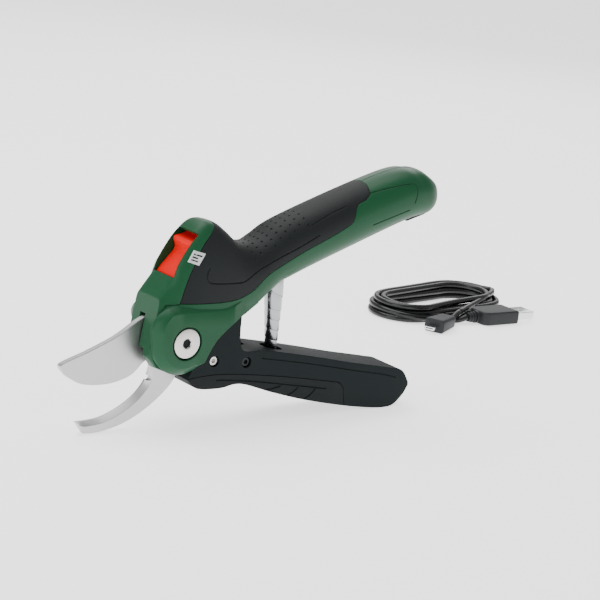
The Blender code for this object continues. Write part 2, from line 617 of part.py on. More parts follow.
def in_window(outline, half_width):
    """A prism drawn along the window's slope: first value up the slope, second value outwards."""
    return prism(outline, -half_width, half_width)


SLIDER_END = WINDOW_LENGTH + 2.2
pocket = add("cut_pocket", in_window([(0, -POCKET_DEPTH), (WINDOW_LENGTH, -POCKET_DEPTH),
                                      (WINDOW_LENGTH, 12.0),
                                      (0, 12.0)], WINDOW_HALF_WIDTH), None, WINDOW)
under_crown = add("cut_under_crown", in_window(
    [(WINDOW_LENGTH - 1.0, -POCKET_DEPTH), (SLIDER_END + SLIDER_TRAVEL + GAP, -POCKET_DEPTH),
     (SLIDER_END + SLIDER_TRAVEL + GAP, -1.6), (WINDOW_LENGTH - 1.0, 0.8)], WINDOW_HALF_WIDTH), None, WINDOW)
cut(head_cover, pocket, under_crown)
slider_outline = ([tuple(p) for p in SLIDER_TOP] + [(19.2, 1.9), (23.4, -1.9), (SLIDER_END, -2.4),
                                                    (SLIDER_END, GAP - POCKET_DEPTH), (0.4,
                                                                                       GAP - POCKET_DEPTH)])
slider = add("lock_slider", rounded(in_window(slider_outline, WINDOW_HALF_WIDTH - GAP), 0.5, 1, rim_edge),
             "red_slider", WINDOW)
SWITCH = WINDOW @ Matrix.Translation((11.0, 0, -POCKET_DEPTH - 2.6))
switch_room = add("cut_switch_room", box((8.0, 7.0, 4.4)), None, SWITCH @ Matrix.Translation((0, 0, -0.9)))
cut(head_cover, switch_room)
add("micro_switch", box((6.4, 5.6, 2.4)), "black_plastic", SWITCH)

for side, name in ((-1, "left_shell"), (1, "right_shell")):
    shell = add(name, body(), "green_shell")
    low, high = sorted((side * GAP / 2, -side * WIDE))
    cut(shell, head_region_grown)
    combine(shell, add(f"join_cheek_{name}", rounded(prism(CHEEK, -HEAD_HALF_WIDTH, HEAD_HALF_WIDTH), 0.8,
                                                     2, rim_edge)),
            "UNION")
    cut(shell, shell_outside)
    cut(shell, add(f"cut_half_{name}", prism([(-WIDE, -WIDE), (200.0, -WIDE), (200.0, 90.0), (-WIDE, 90.0)],
                                             low, high)))
    cut(shell, add(f"cut_front_{name}", prism([(-WIDE, -WIDE), (-7.5, -WIDE), (-7.5, 22.0), (-WIDE, 22.0)],
                                              -CHEEK_INNER, CHEEK_INNER)))
    cut(shell, bay, mechanism, drive_room, rear_room, spring_seat_high, pocket, under_crown, switch_room)
left_shell, right_shell = NODES["left_shell"], NODES["right_shell"]

grip = add("grip_overmould", body(), "soft_grip")
combine(grip, grip_region, "INTERSECT")
cut(grip, grip_inside, under_crown)

# ---- pivot ----
HEAD_SEAT = HEAD_HALF_WIDTH - 2.3
bolt = add("pivot_bolt", turned([(0, -14.6), (BOLT_DIAMETER / 2, -14.6),
                                 (BOLT_DIAMETER / 2, HEAD_SEAT + GAP),
                                 (BOLT_HEAD_DIAMETER / 2, HEAD_SEAT + GAP),
                                 (BOLT_HEAD_DIAMETER / 2, HEAD_HALF_WIDTH - 0.3),
                                 (BOLT_HEAD_DIAMETER / 2 - 0.5, HEAD_HALF_WIDTH), (0, HEAD_HALF_WIDTH)], 32),
           "bolt_steel", ACROSS)
cut(bolt, add("cut_hex_socket", disc(2.3, HEAD_HALF_WIDTH - 2.5, HEAD_HALF_WIDTH + 2, 6), None, ACROSS))
cut(left_shell, hole("cut_bolt_bore_left", BOLT_DIAMETER / 2 + GAP, (0, 0), -WIDE, 0))
cut(left_shell, hole("cut_bolt_head_room", BOLT_HEAD_DIAMETER / 2 + 1.0, (0, 0), -WIDE, -HEAD_SEAT))
cut(right_shell, hole("cut_bolt_bore_right", BOLT_DIAMETER / 2 + GAP, (0, 0), 0, WIDE))
cut(right_shell, hole("cut_nut_room", BOLT_HEAD_DIAMETER / 2 + 1.0, (0, 0), 13.4, WIDE))
nut = add("pivot_nut", tube(BOLT_DIAMETER / 2 + GAP, BOLT_HEAD_DIAMETER / 2, -HEAD_HALF_WIDTH + 0.2,
                            -13.4 - GAP, 24),
          "bolt_steel", ACROSS)
add("pivot_spacer_left", tube(BOLT_DIAMETER / 2 + GAP, 6.4, -HOOK_NEAR + GAP, BAY_HALF_WIDTH - GAP, 20),
    "bolt_steel",
    ACROSS)
add("pivot_spacer_right", tube(BOLT_DIAMETER / 2 + GAP, 6.4, GAP - BAY_HALF_WIDTH, -BLADE_FAR - GAP, 20),
    "bolt_steel",
    ACROSS)
add("hook_anchor_pin", disc(ANCHOR_RADIUS, -HOOK_NEAR - HOOK_THICKNESS + GAP, 14.0, 16), "bolt_steel",
    Matrix.Translation((ANCHOR_CENTRE[0], 0, ANCHOR_CENTRE[1])) @ ACROSS)
cut(left_shell, hole("cut_anchor_seat", ANCHOR_RADIUS + GAP, ANCHOR_CENTRE, -14.0 - GAP, 0))

# ---- drive: motor, planetary stage, screw and nut ----
NUT_HALF_WIDTH = 4.5
nut_box = box((9.2, 2 * NUT_HALF_WIDTH, NUT_BACK - NUT_FRONT), (-0.6, 0, (NUT_BACK + NUT_FRONT) / 2))
drive_nut = add("drive_nut", nut_box, "brass", DRIVE)
arm_length = ARM_ROOM_BACK - NUT_FRONT + 2
cut(drive_nut, add("cut_arm_room", box((14.0, BLADE_THICKNESS + 0.8, arm_length),
                                       (0, -(BLADE_NEAR + BLADE_FAR) / 2,
                                        ARM_ROOM_BACK - arm_length / 2)), None, DRIVE))
pin_low = -PIN_DROP - PIN_DIAMETER / 2 - 0.4
pin_high = PIN_DIAMETER / 2 + 0.4
cut(drive_nut, add("cut_pin_slot", box((pin_high - pin_low, 30.0, PIN_DIAMETER + 0.5),
                                       ((pin_high + pin_low) / 2, 0, PIN_REST)), None, DRIVE))
cut(drive_nut, add("cut_screw_bore", disc(SCREW_DIAMETER / 2 + RUNNING, NUT_SOCKET, NUT_BACK + 5, 20),
                   None, DRIVE))
SCREW_TIP = NUT_SOCKET + 0.5
lead_screw = add("lead_screw", turned([(0, SCREW_TIP), (SCREW_DIAMETER / 2, SCREW_TIP),
                                       (SCREW_DIAMETER / 2, CARRIER_FRONT), (CARRIER_RADIUS + 1.9,
                                                                             CARRIER_FRONT),
                                       (CARRIER_RADIUS + 1.9, CARRIER_FRONT + CARRIER_THICKNESS),
                                       (0, CARRIER_FRONT + CARRIER_THICKNESS)], 24), "bolt_steel", DRIVE)
PLANET_PIN = 1.0
for i in range(3):
    turn = 2 * pi * i / 3
    x, y = CARRIER_RADIUS * cos(turn), CARRIER_RADIUS * sin(turn)
    centre = DRIVE @ Vector((x, y, PLANET_FRONT))
    at = DRIVE @ Matrix.Translation((x, y, 0))
    combine(lead_screw, add(f"join_planet_pin_{i + 1}",
                            disc(PLANET_PIN, CARRIER_FRONT + 1, PLANET_FRONT + GEAR_WIDTH, 12),
                            None, at), "UNION")
    planet = add(f"planet_gear_{i + 1}", gear(PLANET_TEETH, PLANET_FRONT, PLANET_FRONT + GEAR_WIDTH,
                                              pi / PLANET_TEETH),
                 "gear_nylon", at, centre)
    cut(planet, add(f"cut_planet_bore_{i + 1}", disc(PLANET_PIN + RUNNING, PLANET_FRONT - 2,
                                                     PLANET_FRONT + GEAR_WIDTH + 2,
                                                     16), None, at))
sun = add("sun_gear", gear(SUN_TEETH, PLANET_FRONT, PLANET_FRONT + GEAR_WIDTH), "brass", DRIVE)
cut(sun, add("cut_sun_bore", disc(1.0 + GAP, PLANET_FRONT - 2, PLANET_FRONT + GEAR_WIDTH + 2, 16), None,
             DRIVE))
ring = add("ring_gear", disc(RING_OUTER, RING_FRONT, RING_BACK, 40), "gear_nylon", DRIVE)
cut(ring, add("cut_ring_teeth", toothed(RING_TEETH, RING_FRONT - 2, RING_BACK + 2, pi / RING_TEETH, -0.8,
                                        1.15, 0.40,
                                        0.20), None, DRIVE))
add("gearbox_cover", tube(1.7, RING_OUTER, RING_BACK + GAP, RING_BACK + GAP + COVER_THICKNESS, 32),
    "bolt_steel", DRIVE)
add("motor_shaft", disc(1.0, PLANET_FRONT + 0.2, MOTOR_FRONT + 4.0, 14), "bolt_steel", DRIVE)
motor = add("motor_can", turned([(0, MOTOR_FRONT), (MOTOR_DIAMETER / 2 - 0.8, MOTOR_FRONT),
                                 (MOTOR_DIAMETER / 2, MOTOR_FRONT + 0.8), (MOTOR_DIAMETER / 2,
                                                                           MOTOR_BACK - 0.8),
                                 (MOTOR_DIAMETER / 2 - 0.8, MOTOR_BACK), (0,
                                         MOTOR_BACK)], 28), "plated_steel", DRIVE)
cut(motor, add("cut_motor_bore", disc(1.0 + GAP, MOTOR_FRONT - 2, MOTOR_FRONT + 5.0, 14), None, DRIVE))
bearing_room = add("cut_bearing_room", disc(8.0 + GAP, BEARING_FRONT - GAP, BEARING_BACK + GAP, 24), None,
                   DRIVE)
cut(left_shell, bearing_room)
cut(right_shell, bearing_room)
add("screw_bearing", tube(SCREW_DIAMETER / 2 + RUNNING, 8.0, BEARING_FRONT, BEARING_BACK, 24),
    "bolt_steel", DRIVE)

# ---- battery, board and charging socket ----
add("battery_cell", turned([(0, CELL_FRONT), (CELL_DIAMETER / 2, CELL_FRONT),
                            (CELL_DIAMETER / 2, CELL_BACK - 1.0),
                            (3.0, CELL_BACK - 1.0), (3.0, CELL_BACK), (0,
                                                                       CELL_BACK)], 28), "cell_wrap", DRIVE)
add("circuit_board", box((12.5, 14.0, 1.2), (-2.4, 0, BOARD_PLACE + 0.6)), "board_green", DRIVE)
port_low = HANDLE_HALF_DEPTH * 1.06
PORT = DRIVE @ Matrix.Translation((-port_low, 0, PORT_PLACE)) @ Matrix.Rotation(radians(-4), 4, "Y")
port_recess = add("cut_port_recess", box((5.0, 2 * PORT_HALF[1] + 2 * GAP, 2 * PORT_HALF[0] + 2 * GAP),
                                         (-0.2, 0, 0)),
                  None, PORT)
port_way = add("cut_port_way", box((12.0, 8.4, 3.6), (5.0, 0, 0)), None, PORT)
cut(left_shell, port_recess, port_way)
cut(right_shell, port_recess, port_way)
usb_port = add("usb_port", box((4.4, 7.4, 2.7), (5.2, 0, 0)), "plated_steel", PORT)
cut(usb_port, add("cut_port_mouth", box((4.4, 6.6, 1.9), (4.2, 0, 0)), None, PORT))
cover_hinge = PORT @ Vector((-0.8, 0, -PORT_HALF[0]))
cover = add("port_cover", rounded(box((2.4, 2 * PORT_HALF[1], 2 * PORT_HALF[0]), (0.4, 0, 0)), 0.7, 2,
                                  lambda e: all(v.co.x < 0 for v in e.verts)), "black_plastic", PORT, cover_hinge)

# ---- housing screws, driven in from the right side ----
SCREW_LENGTH = 10.0
WALL_MIDDLE = -(DRIVE_BORE + HANDLE_HALF_DEPTH - 0.5) / 2
HOUSING_SCREWS = [(CELL_FRONT + 12.0, WALL_MIDDLE), (CELL_FRONT + 50.0, WALL_MIDDLE),
                  (CELL_BACK + 17.0, -5.0)]
for number, (place, height) in enumerate(HOUSING_SCREWS, 1):
    centre = drive(place, height)
    at = Matrix.Translation((centre[0], 0, centre[1])) @ ACROSS
    profile = [(0, SCREW_LENGTH / 2), (1.0, SCREW_LENGTH / 2), (1.0, -SCREW_LENGTH / 2 + 1.4),
               (1.9, -SCREW_LENGTH / 2 + 1.4), (1.9, -SCREW_LENGTH / 2), (0, -SCREW_LENGTH / 2)]
    add(f"housing_screw_{number}", turned(profile, 14), "bolt_steel", at)
    bore = add(f"cut_housing_bore_{number}", turned(
        [(0, SCREW_LENGTH / 2 + GAP), (1.0 + GAP, SCREW_LENGTH / 2 + GAP),
         (1.0 + GAP, -SCREW_LENGTH / 2 + 1.4 + GAP),
         (1.9 + GAP, -SCREW_LENGTH / 2 + 1.4 + GAP), (1.9 + GAP, -WIDE), (0, -WIDE)], 14), None, at)
    cut(left_shell, bore)
    cut(right_shell, bore)

# ---- stand the tool on its floor, with the middle of its base at the origin ----
tool.rotation_euler = (0, -PITCH, 0)
bpy.context.view_layer.update()
graph = bpy.context.evaluated_depsgraph_get()
corners = []
for obj in NODES.values():
    shown = obj.evaluated_get(graph)
    corners += [shown.matrix_world @ vert.co for vert in shown.data.vertices]
low = Vector([min(c[i] for c in corners) for i in range(3)])
high = Vector([max(c[i] for c in corners) for i in range(3)])
tool.location = (-(low.x + high.x) / 2, -(low.y + high.y) / 2, -low.z)

# ---- charging cable, lying behind the tool on the same floor ----
CABLE_RADIUS = CABLE_DIAMETER / 2
COIL_CENTRE = (248.0, 141.0)
COIL_TURN = radians(9.0)
PLUG_A = (252.0, 109.8, 4.0)               # middle of the big plug's back face; it points along +X
PLUG_A_SIZE = (29.0, 16.5, 8.0)
SHELL_A_SIZE = (14.0, 12.0, 4.5)
PLUG_B = (229.0, 107.0, 4.0)               # middle of the small plug's back face
PLUG_B_TURN = radians(204.0)
PLUG_B_SIZE = (19.0, 12.5, 8.0)
SHELL_B_SIZE = (6.0, 6.85, 1.85)
RELIEF_A = 5.0
RELIEF_B = 6.5
LEAD_A = [(-0.8, 0, 0), (-3.2, 0.4, -0.8), (-5.6, 1.7, -1.8), (-7.2, 3.4, -2.1), (-8.6, 5.0, -2.1)]
LEAD_B = [(6.4, 2.85, 0.3), (9.0, 4.0, 1.1), (11.8, 5.3, 2.0), (14.6, 6.8, 2.3), (17.0, 8.2, 2.3)]

cable = bpy.data.objects.new("cable_frame", None)
bpy.context.collection.objects.link(cable)


def add_cable(name, points):
    """A free stretch of cable: a bevelled curve with filled caps through the points."""
    curve = bpy.data.curves.new(name, "CURVE")
    curve.dimensions = "3D"
    curve.bevel_depth = CABLE_RADIUS * MM
    curve.bevel_resolution = 2
    curve.use_fill_caps = True
    spline = curve.splines.new("POLY")
    spline.points.add(len(points) - 1)
    for slot, point in zip(spline.points, points):
        slot.co = (*(Vector(point) * MM), 1)
    curve.materials.append(material("cable_black"))
    obj = bpy.data.objects.new(name, curve)
    bpy.context.collection.objects.link(obj)
    obj.parent = cable
    NODES[name] = obj


def stadium(length, width, steps=8):
    """Outline with round ends about the origin."""
    reach = (length - width) / 2
    return arc((reach, 0), width / 2, -90, 90, steps) + arc((-reach, 0), width / 2, 90, 270, steps)


def upright(outline, height):
    """A plan outline made solid from the floor up."""
    bm = prism(outline, 0, height)
    bmesh.ops.rotate(bm, cent=(0, 0, 0), matrix=Matrix.Rotation(pi / 2, 3, "X"), verts=bm.verts)
    bmesh.ops.translate(bm, vec=(0, 0, -min(v.co.z for v in bm.verts)), verts=bm.verts)
    return bm


def upright_hole(outline, height):
    bm = upright(outline, height)
    bmesh.ops.translate(bm, vec=(0, 0, -height / 4), verts=bm.verts)
    return bm


COIL = Matrix.Translation((*COIL_CENTRE, 0)) @ Matrix.Rotation(COIL_TURN, 4, "Z")
coil = add("cable_coil", upright(stadium(COIL_LENGTH, COIL_WIDTH), COIL_HEIGHT), "cable_black", COIL,
           parent=cable)
inner = stadium(COIL_LENGTH - 2 * COIL_BAND, COIL_WIDTH - 2 * COIL_BAND)
cut(coil, add("cut_coil_eye", upright_hole(inner, 2 * COIL_HEIGHT), None, COIL, parent=cable))

plug_a = Matrix.Translation(PLUG_A)
size = PLUG_A_SIZE
add("usb_a_overmould", rounded(box(size, (size[0] / 2, 0, 0)), 1.6, 2), "plug_black", plug_a, parent=cable)
shell_middle = size[0] + GAP + SHELL_A_SIZE[0] / 2
shell_a = add("usb_a_shell", box(SHELL_A_SIZE, (shell_middle, 0, 0)), "plated_steel", plug_a, parent=cable)
cut(shell_a, add("cut_shell_a_mouth", box((SHELL_A_SIZE[0], SHELL_A_SIZE[1] - 0.8, 1.9),
                                          (shell_middle + 1.5, 0, 0.9)),
                 None, plug_a, parent=cable))
ALONG_PLUG = Matrix.Rotation(-pi / 2, 4, "Y")          # local Z to -X, out of a plug's back face
add("usb_a_strain_relief", turned([(0, GAP), (3.3, GAP), (3.3, 2.2), (2.7, RELIEF_A), (0, RELIEF_A)], 16),
    "plug_black",
    plug_a @ ALONG_PLUG, parent=cable)
plug_b = Matrix.Translation(PLUG_B) @ Matrix.Rotation(PLUG_B_TURN, 4, "Z")
size = PLUG_B_SIZE
add("micro_usb_overmould", rounded(box(size, (size[0] / 2, 0, 0)), 1.4, 2), "plug_black", plug_b,
    parent=cable)
add("micro_usb_shell", box(SHELL_B_SIZE, (size[0] + GAP + SHELL_B_SIZE[0] / 2, 0, -0.6)), "plated_steel",
    plug_b,
    parent=cable)
add("micro_usb_strain_relief", turned([(0, GAP), (3.0, GAP), (2.3, RELIEF_B), (0, RELIEF_B)], 16),
    "plug_black",
    plug_b @ ALONG_PLUG, parent=cable)


def route(start, steps):
    """Smooth points of a lead, given as steps from a plug's back face."""
    return smooth([Vector(start) + Vector(step) for step in steps], 2)


add_cable("cable_lead_a", route((PLUG_A[0] - RELIEF_A, PLUG_A[1], PLUG_A[2]), LEAD_A))
add_cable("cable_lead_b", route(PLUG_B, LEAD_B))
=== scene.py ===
import bpy
import bmesh
import json
from math import atan2, cos, degrees, pi, radians, sin
from mathutils import Matrix, Vector
from mathutils.bvhtree import BVHTree


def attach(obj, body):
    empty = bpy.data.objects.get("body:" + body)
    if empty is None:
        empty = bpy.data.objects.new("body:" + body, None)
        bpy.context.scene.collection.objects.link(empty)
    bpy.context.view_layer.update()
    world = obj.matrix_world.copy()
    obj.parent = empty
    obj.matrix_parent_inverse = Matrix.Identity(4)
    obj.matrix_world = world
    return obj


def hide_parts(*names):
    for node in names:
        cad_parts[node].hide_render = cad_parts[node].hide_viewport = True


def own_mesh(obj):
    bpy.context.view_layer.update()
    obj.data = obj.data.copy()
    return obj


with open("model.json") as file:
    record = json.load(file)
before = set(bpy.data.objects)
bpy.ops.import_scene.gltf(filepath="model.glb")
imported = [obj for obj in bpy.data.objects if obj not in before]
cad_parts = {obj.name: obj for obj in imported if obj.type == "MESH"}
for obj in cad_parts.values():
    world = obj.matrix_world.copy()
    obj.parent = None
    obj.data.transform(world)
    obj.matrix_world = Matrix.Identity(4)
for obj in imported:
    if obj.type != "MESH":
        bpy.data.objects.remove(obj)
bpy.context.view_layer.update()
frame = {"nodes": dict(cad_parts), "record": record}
nodes = frame["nodes"]
joints = {joint["name"]: joint for joint in frame["record"]["behaviour"]["joints"]}

# the tool's own frame: millimetres, pivot bolt at the origin, +X back along the handle, -Y the left side
handlePitch = radians(11.75)
pivot = Vector(joints["lever_squeeze"]["pos_m"])
travel = joints["nut_travel"]["axis"]
lean = atan2(-travel[2], -travel[0]) - handlePitch
milli = Matrix.Scale(0.001, 4)
toolPlace = Matrix.Translation(pivot) @ Matrix.Rotation(-lean, 4, "Y") @ milli


# camera, floor and light
view = {"place": (-0.6422, -0.8306, 0.3189), "aim": (0.02952, 0.0, 0.05661), "roll": 6.95, "lens": 134.0}


def addCamera():
    data = bpy.data.cameras.new("camera")
    data.lens = view["lens"]
    data.sensor_width = 36.0
    data.clip_end = 20.0
    camera = bpy.data.objects.new("camera", data)
    bpy.context.scene.collection.objects.link(camera)
    place, aim = Vector(view["place"]), Vector(view["aim"])
    turn = (aim - place).to_track_quat("-Z", "Y").to_matrix().to_4x4()
    camera.matrix_world = Matrix.Translation(place) @ turn @ Matrix.Rotation(radians(view["roll"]), 4, "Z")
    bpy.context.scene.camera = camera


studio = {
    "overhead": ((-0.10, 0.35, 1.15), 1.1, 15.0),     # place, size, watts
    "left": ((-1.40, -0.25, 0.45), 0.8, 6.5),
    "front": ((0.25, -1.3, 0.65), 1.0, 0.3),
    "rear": ((0.9, 0.9, 0.7), 0.8, 4.0),
}


def addStudio():
    for name, (place, size, watts) in studio.items():
        data = bpy.data.lights.new(name, "AREA")
        data.shape = "SQUARE"
        data.size = size
        data.energy = watts
        light = bpy.data.objects.new(name, data)
        bpy.context.scene.collection.objects.link(light)
        light.location = place
        light.rotation_euler = (-Vector(place)).to_track_quat("-Z", "Y").to_euler()
    world = bpy.data.worlds.new("studio")
    bpy.context.scene.world = world
    world.use_nodes = True
    sky = world.node_tree.nodes["Background"]
    sky.inputs["Color"].default_value = (1.0, 1.0, 1.0, 1)
    sky.inputs["Strength"].default_value = 0.6
    bm = bmesh.new()
    bmesh.ops.create_grid(bm, x_segments=1, y_segments=1, size=6.0)
    bmesh.ops.translate(bm, vec=(0, 0, -0.0002), verts=bm.verts)
    floor = newObject("floor", bm)
    paper = plain("paper", (0.9, 0.9, 0.9), 0.8)
    shader = paper.node_tree.nodes["Principled BSDF"]
    shader.inputs["Emission Color"].default_value = (1, 1, 1, 1)
    shader.inputs["Emission Strength"].default_value = 1.3
    floor.data.materials.append(paper)


def newObject(name, bm):
    mesh = bpy.data.meshes.new(name)
    bm.to_mesh(mesh)
    bm.free()
    obj = bpy.data.objects.new(name, mesh)
    bpy.context.scene.collection.objects.link(obj)
    return obj


# finishes
def plain(name, colour, roughness, metallic=0.0, shine=0.5):
    made = bpy.data.materials.new(name)
    made.use_nodes = True
    shader = made.node_tree.nodes["Principled BSDF"]
    shader.inputs["Base Color"].default_value = (*colour, 1)
    shader.inputs["Roughness"].default_value = roughness
    shader.inputs["Metallic"].default_value = metallic
    shader.inputs["Specular IOR Level"].default_value = shine
    return made


finishes = {
    # name: colour, roughness, metallic, shine, grain size in 1/m, grain height in m, colour drift, streak direction
    "greenShell": ((0.003, 0.060, 0.021), 0.40, 0.0, 0.24, 2600, 0.00003, 0.10, None),
    "softGrip": ((0.0045, 0.0065, 0.007), 0.58, 0.0, 0.26, 3200, 0.00005, 0.18, None),
    "redSlider": ((0.74, 0.0022, 0.0015), 0.45, 0.0, 0.08, 3000, 0.00001, 0.05, None),
    "leverPlastic": ((0.0065, 0.0105, 0.0115), 0.60, 0.0, 0.12, 3600, 0.00003, 0.14, None),
    "insertRubber": ((0.0055, 0.008, 0.0085), 0.66, 0.0, 0.2, 3000, 0.00005, 0.2, None),
    "bladeSteel": ((0.52, 0.52, 0.52), 0.36, 1.0, 0.5, 1500, 0.000004, 0.06, (1, 1, 14)),
    "boltSteel": ((0.66, 0.64, 0.62), 0.40, 1.0, 0.5, 1800, 0.000008, 0.08, None),
    "blackSteel": ((0.035, 0.037, 0.04), 0.42, 1.0, 0.5, 1800, 0.000008, 0.15, None),
    "springSteel": ((0.36, 0.37, 0.38), 0.22, 1.0, 0.5, 900, 0.00001, 0.2, (1, 1, 8)),
    "platedSteel": ((0.74, 0.75, 0.76), 0.16, 1.0, 0.5, 1200, 0.000003, 0.05, None),
    "turnedBrass": ((0.66, 0.46, 0.17), 0.32, 1.0, 0.5, 1500, 0.00001, 0.1, (1, 1, 6)),
    "gearNylon": ((0.75, 0.73, 0.66), 0.5, 0.0, 0.4, 1500, 0.00002, 0.06, None),
    "cellWrap": ((0.03, 0.16, 0.42), 0.36, 0.0, 0.5, 700, 0.00001, 0.08, None),
    "boardGreen": ((0.02, 0.18, 0.08), 0.42, 0.0, 0.5, 500, 0.00002, 0.2, None),
    "labelSilver": ((0.68, 0.69, 0.70), 0.42, 0.55, 0.5, 900, 0.000004, 0.05, None),
    "cableJacket": ((0.004, 0.0045, 0.005), 0.26, 0.0, 0.4, 400, 0.00003, 0.1, None),
    "plugPlastic": ((0.014, 0.016, 0.018), 0.5, 0.0, 0.3, 3000, 0.00004, 0.12, None),
}
made = {}


def finish(name):
    if name in made:
        return made[name]
    colour, roughness, metallic, shine, size, height, drift, streak = finishes[name]
    result = plain(name, colour, roughness, metallic, shine)
    tree = result.node_tree
    shader = tree.nodes["Principled BSDF"]
    link = tree.links.new
    coords = tree.nodes.new("ShaderNodeTexCoord")
    mapping = tree.nodes.new("ShaderNodeMapping")
    mapping.inputs["Scale"].default_value = streak or (1, 1, 1)
    link(coords.outputs["Object"], mapping.inputs["Vector"])
    grain = tree.nodes.new("ShaderNodeTexNoise")        # moulding grain or grinding marks
    grain.inputs["Scale"].default_value = size
    grain.inputs["Detail"].default_value = 3
    link(mapping.outputs["Vector"], grain.inputs["Vector"])
    bump = tree.nodes.new("ShaderNodeBump")
    bump.inputs["Strength"].default_value = 0.6
    bump.inputs["Distance"].default_value = height
    link(grain.outputs["Fac"], bump.inputs["Height"])
    link(bump.outputs["Normal"], shader.inputs["Normal"])
    edge = tree.nodes.new("ShaderNodeBevel")            # moulded and ground edges are never knife sharp
    edge.samples = 6
    edge.inputs["Radius"].default_value = 0.0005 if metallic < 0.5 else 0.00025
    link(edge.outputs["Normal"], bump.inputs["Normal"])
    cloud = tree.nodes.new("ShaderNodeTexNoise")        # slow drift of colour and gloss over the piece
    cloud.inputs["Scale"].default_value = 38
    cloud.inputs["Detail"].default_value = 4
    link(coords.outputs["Object"], cloud.inputs["Vector"])
    blend = tree.nodes.new("ShaderNodeMix")
    blend.data_type = "RGBA"
    blend.inputs["A"].default_value = (*[c * (1 - drift) for c in colour], 1)
    blend.inputs["B"].default_value = (*[min(1, c * (1 + drift)) for c in colour], 1)
    link(cloud.outputs["Fac"], blend.inputs["Factor"])
    link(blend.outputs["Result"], shader.inputs["Base Color"])
    gloss = tree.nodes.new("ShaderNodeMapRange")
    gloss.inputs["To Min"].default_value = roughness - 0.06
    gloss.inputs["To Max"].default_value = roughness + 0.08
    link(cloud.outputs["Fac"], gloss.inputs["Value"])
    link(gloss.outputs["Result"], shader.inputs["Roughness"])
    made[name] = result
    return result


addCamera()
addStudio()
print("camera, floor and light")


# charging cable
cable = {"diameter": 0.0036, "centre": (0.248, 0.141), "turn": radians(9.0), "length": 0.100, "width": 0.045,
         "starts": 0.20, "ends": 0.92, "perTurn": 40, "slides": (0.72, 0.26)}


def stadiumPoint(t, inset, stretch=0.0):
    # a place along an oval with round ends, t from 0 to 1 from the middle of its near side
    radius = cable["width"] / 2 - inset
    reach = (cable["length"] - cable["width"]) / 2 + stretch
    straight = 2 * reach
    bend = pi * radius
    s = (t % 1.0) * 2 * (straight + bend)
    if s < reach:
        return Vector((s, -radius, 0))
    s -= reach
    if s < bend:
        a = -pi / 2 + s / radius
        return Vector((reach + radius * cos(a), radius * sin(a), 0))
    s -= bend
    if s < straight:
        return Vector((reach - s, radius, 0))
    s -= straight
    if s < bend:
        a = pi / 2 + s / radius
        return Vector((-reach + radius * cos(a), radius * sin(a), 0))
    return Vector((-reach + s - bend, -radius, 0))


def smoothCurve(points, steps):
    ends = [points[0]] + list(points) + [points[-1]]
    curve = []
    for i in range(1, len(ends) - 2):
        a, b, c, d = (Vector(p) for p in ends[i - 1:i + 3])
        for k in range(steps):
            t = k / steps
            curve.append(0.5 * (2 * b + (c - a) * t + (2 * a - 5 * b + 4 * c - d) * t * t
                                + (3 * b - a - 3 * c + d) * t ** 3))
    curve.append(Vector(points[-1]))
    return curve


plugA = {"back": (0.252, 0.1098, 0.0040), "size": (0.029, 0.0165, 0.008), "relief": 0.005, "turn": 0.0,
         "shell": (0.014, 0.012, 0.0045)}
plugB = {"back": (0.229, 0.107, 0.0040), "size": (0.019, 0.0125, 0.008), "relief": 0.0065, "turn": radians(204.0),
         "shell": (0.006, 0.00685, 0.00185)}
leadA = [(-0.8, 0, 0), (-3.2, 0.4, -0.8), (-5.6, 1.7, -1.8), (-7.2, 3.4, -2.1), (-8.6, 5.0, -2.1)]
leadB = [(6.4, 2.85, 0.3), (9.0, 4.0, 1.1), (11.8, 5.3, 2.0), (14.6, 6.8, 2.3), (17.0, 8.2, 2.3)]
layers = [  # turns of one layer: height, stretch, twist in degrees, insets of its turns
    (0.0019, 0.0, 0.0, (0.0020, 0.0060)),
    (0.0055, -0.0010, -1.6, (0.0062, 0.0022)),
    (0.0091, -0.0022, 1.8, (0.0026, 0.0066)),
]


def coilPoint(t, inset, height, stretch, twist):
    point = stadiumPoint(t, inset, stretch)
    point.rotate(Matrix.Rotation(radians(twist) + cable["turn"], 3, "Z"))
    return point + Vector((*cable["centre"], height))


def cableRoute():
    leadStart = [Vector(plugB["back"]) + Vector(step) * 0.001 for step in leadB]
    leadEnd = [Vector(plugA["back"]) - Vector((plugA["relief"], 0, 0)) + Vector(step) * 0.001 for step in leadA]
    turns = []
    for height, stretch, twist, insets in reversed(layers):
        turns += [(height, stretch, twist, inset) for inset in insets]
    coil = []
    first = cable["starts"]
    total = len(turns) - 1 + cable["ends"]
    steps = int((total - first) * cable["perTurn"])
    for i in range(steps + 1):
        t = first + (total - first) * i / steps
        low = min(int(t), len(turns) - 1)
        high = min(low + 1, len(turns) - 1)
        share = t - low
        mix = min(1.0, max(0.0, (share - cable["slides"][0]) / cable["slides"][1]))
        mix = mix * mix * (3 - 2 * mix)                  # each turn slides over to the next near its end
        values = [a + (b - a) * mix for a, b in zip(turns[low], turns[high])]
        coil.append(coilPoint(t, values[3], values[0], values[1], values[2]))
    return smoothCurve(leadStart + coil[::2] + leadEnd[::-1], 4)


def lengthOf(points):
    return sum((b - a).length for a, b in zip(points, points[1:]))


def curveTube(name, points, radius, sides=4):
    data = bpy.data.curves.new(name, "CURVE")
    data.dimensions = "3D"
    data.bevel_depth = radius
    data.bevel_resolution = sides
    data.use_fill_caps = True
    spline = data.splines.new("POLY")
    spline.points.add(len(points) - 1)
    for knot, point in zip(spline.points, points):
        knot.co = (*point, 1)
    obj = bpy.data.objects.new(name, data)
    bpy.context.scene.collection.objects.link(obj)
    return obj


route = cableRoute()
cord = curveTube("charging_cable", route, cable["diameter"] / 2, 5)
cord.data.materials.append(finish("cableJacket"))
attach(cord, "charging_cable")
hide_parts("cable_coil", "cable_lead_a", "cable_lead_b")
print("cable", round(lengthOf(route), 3), "m")


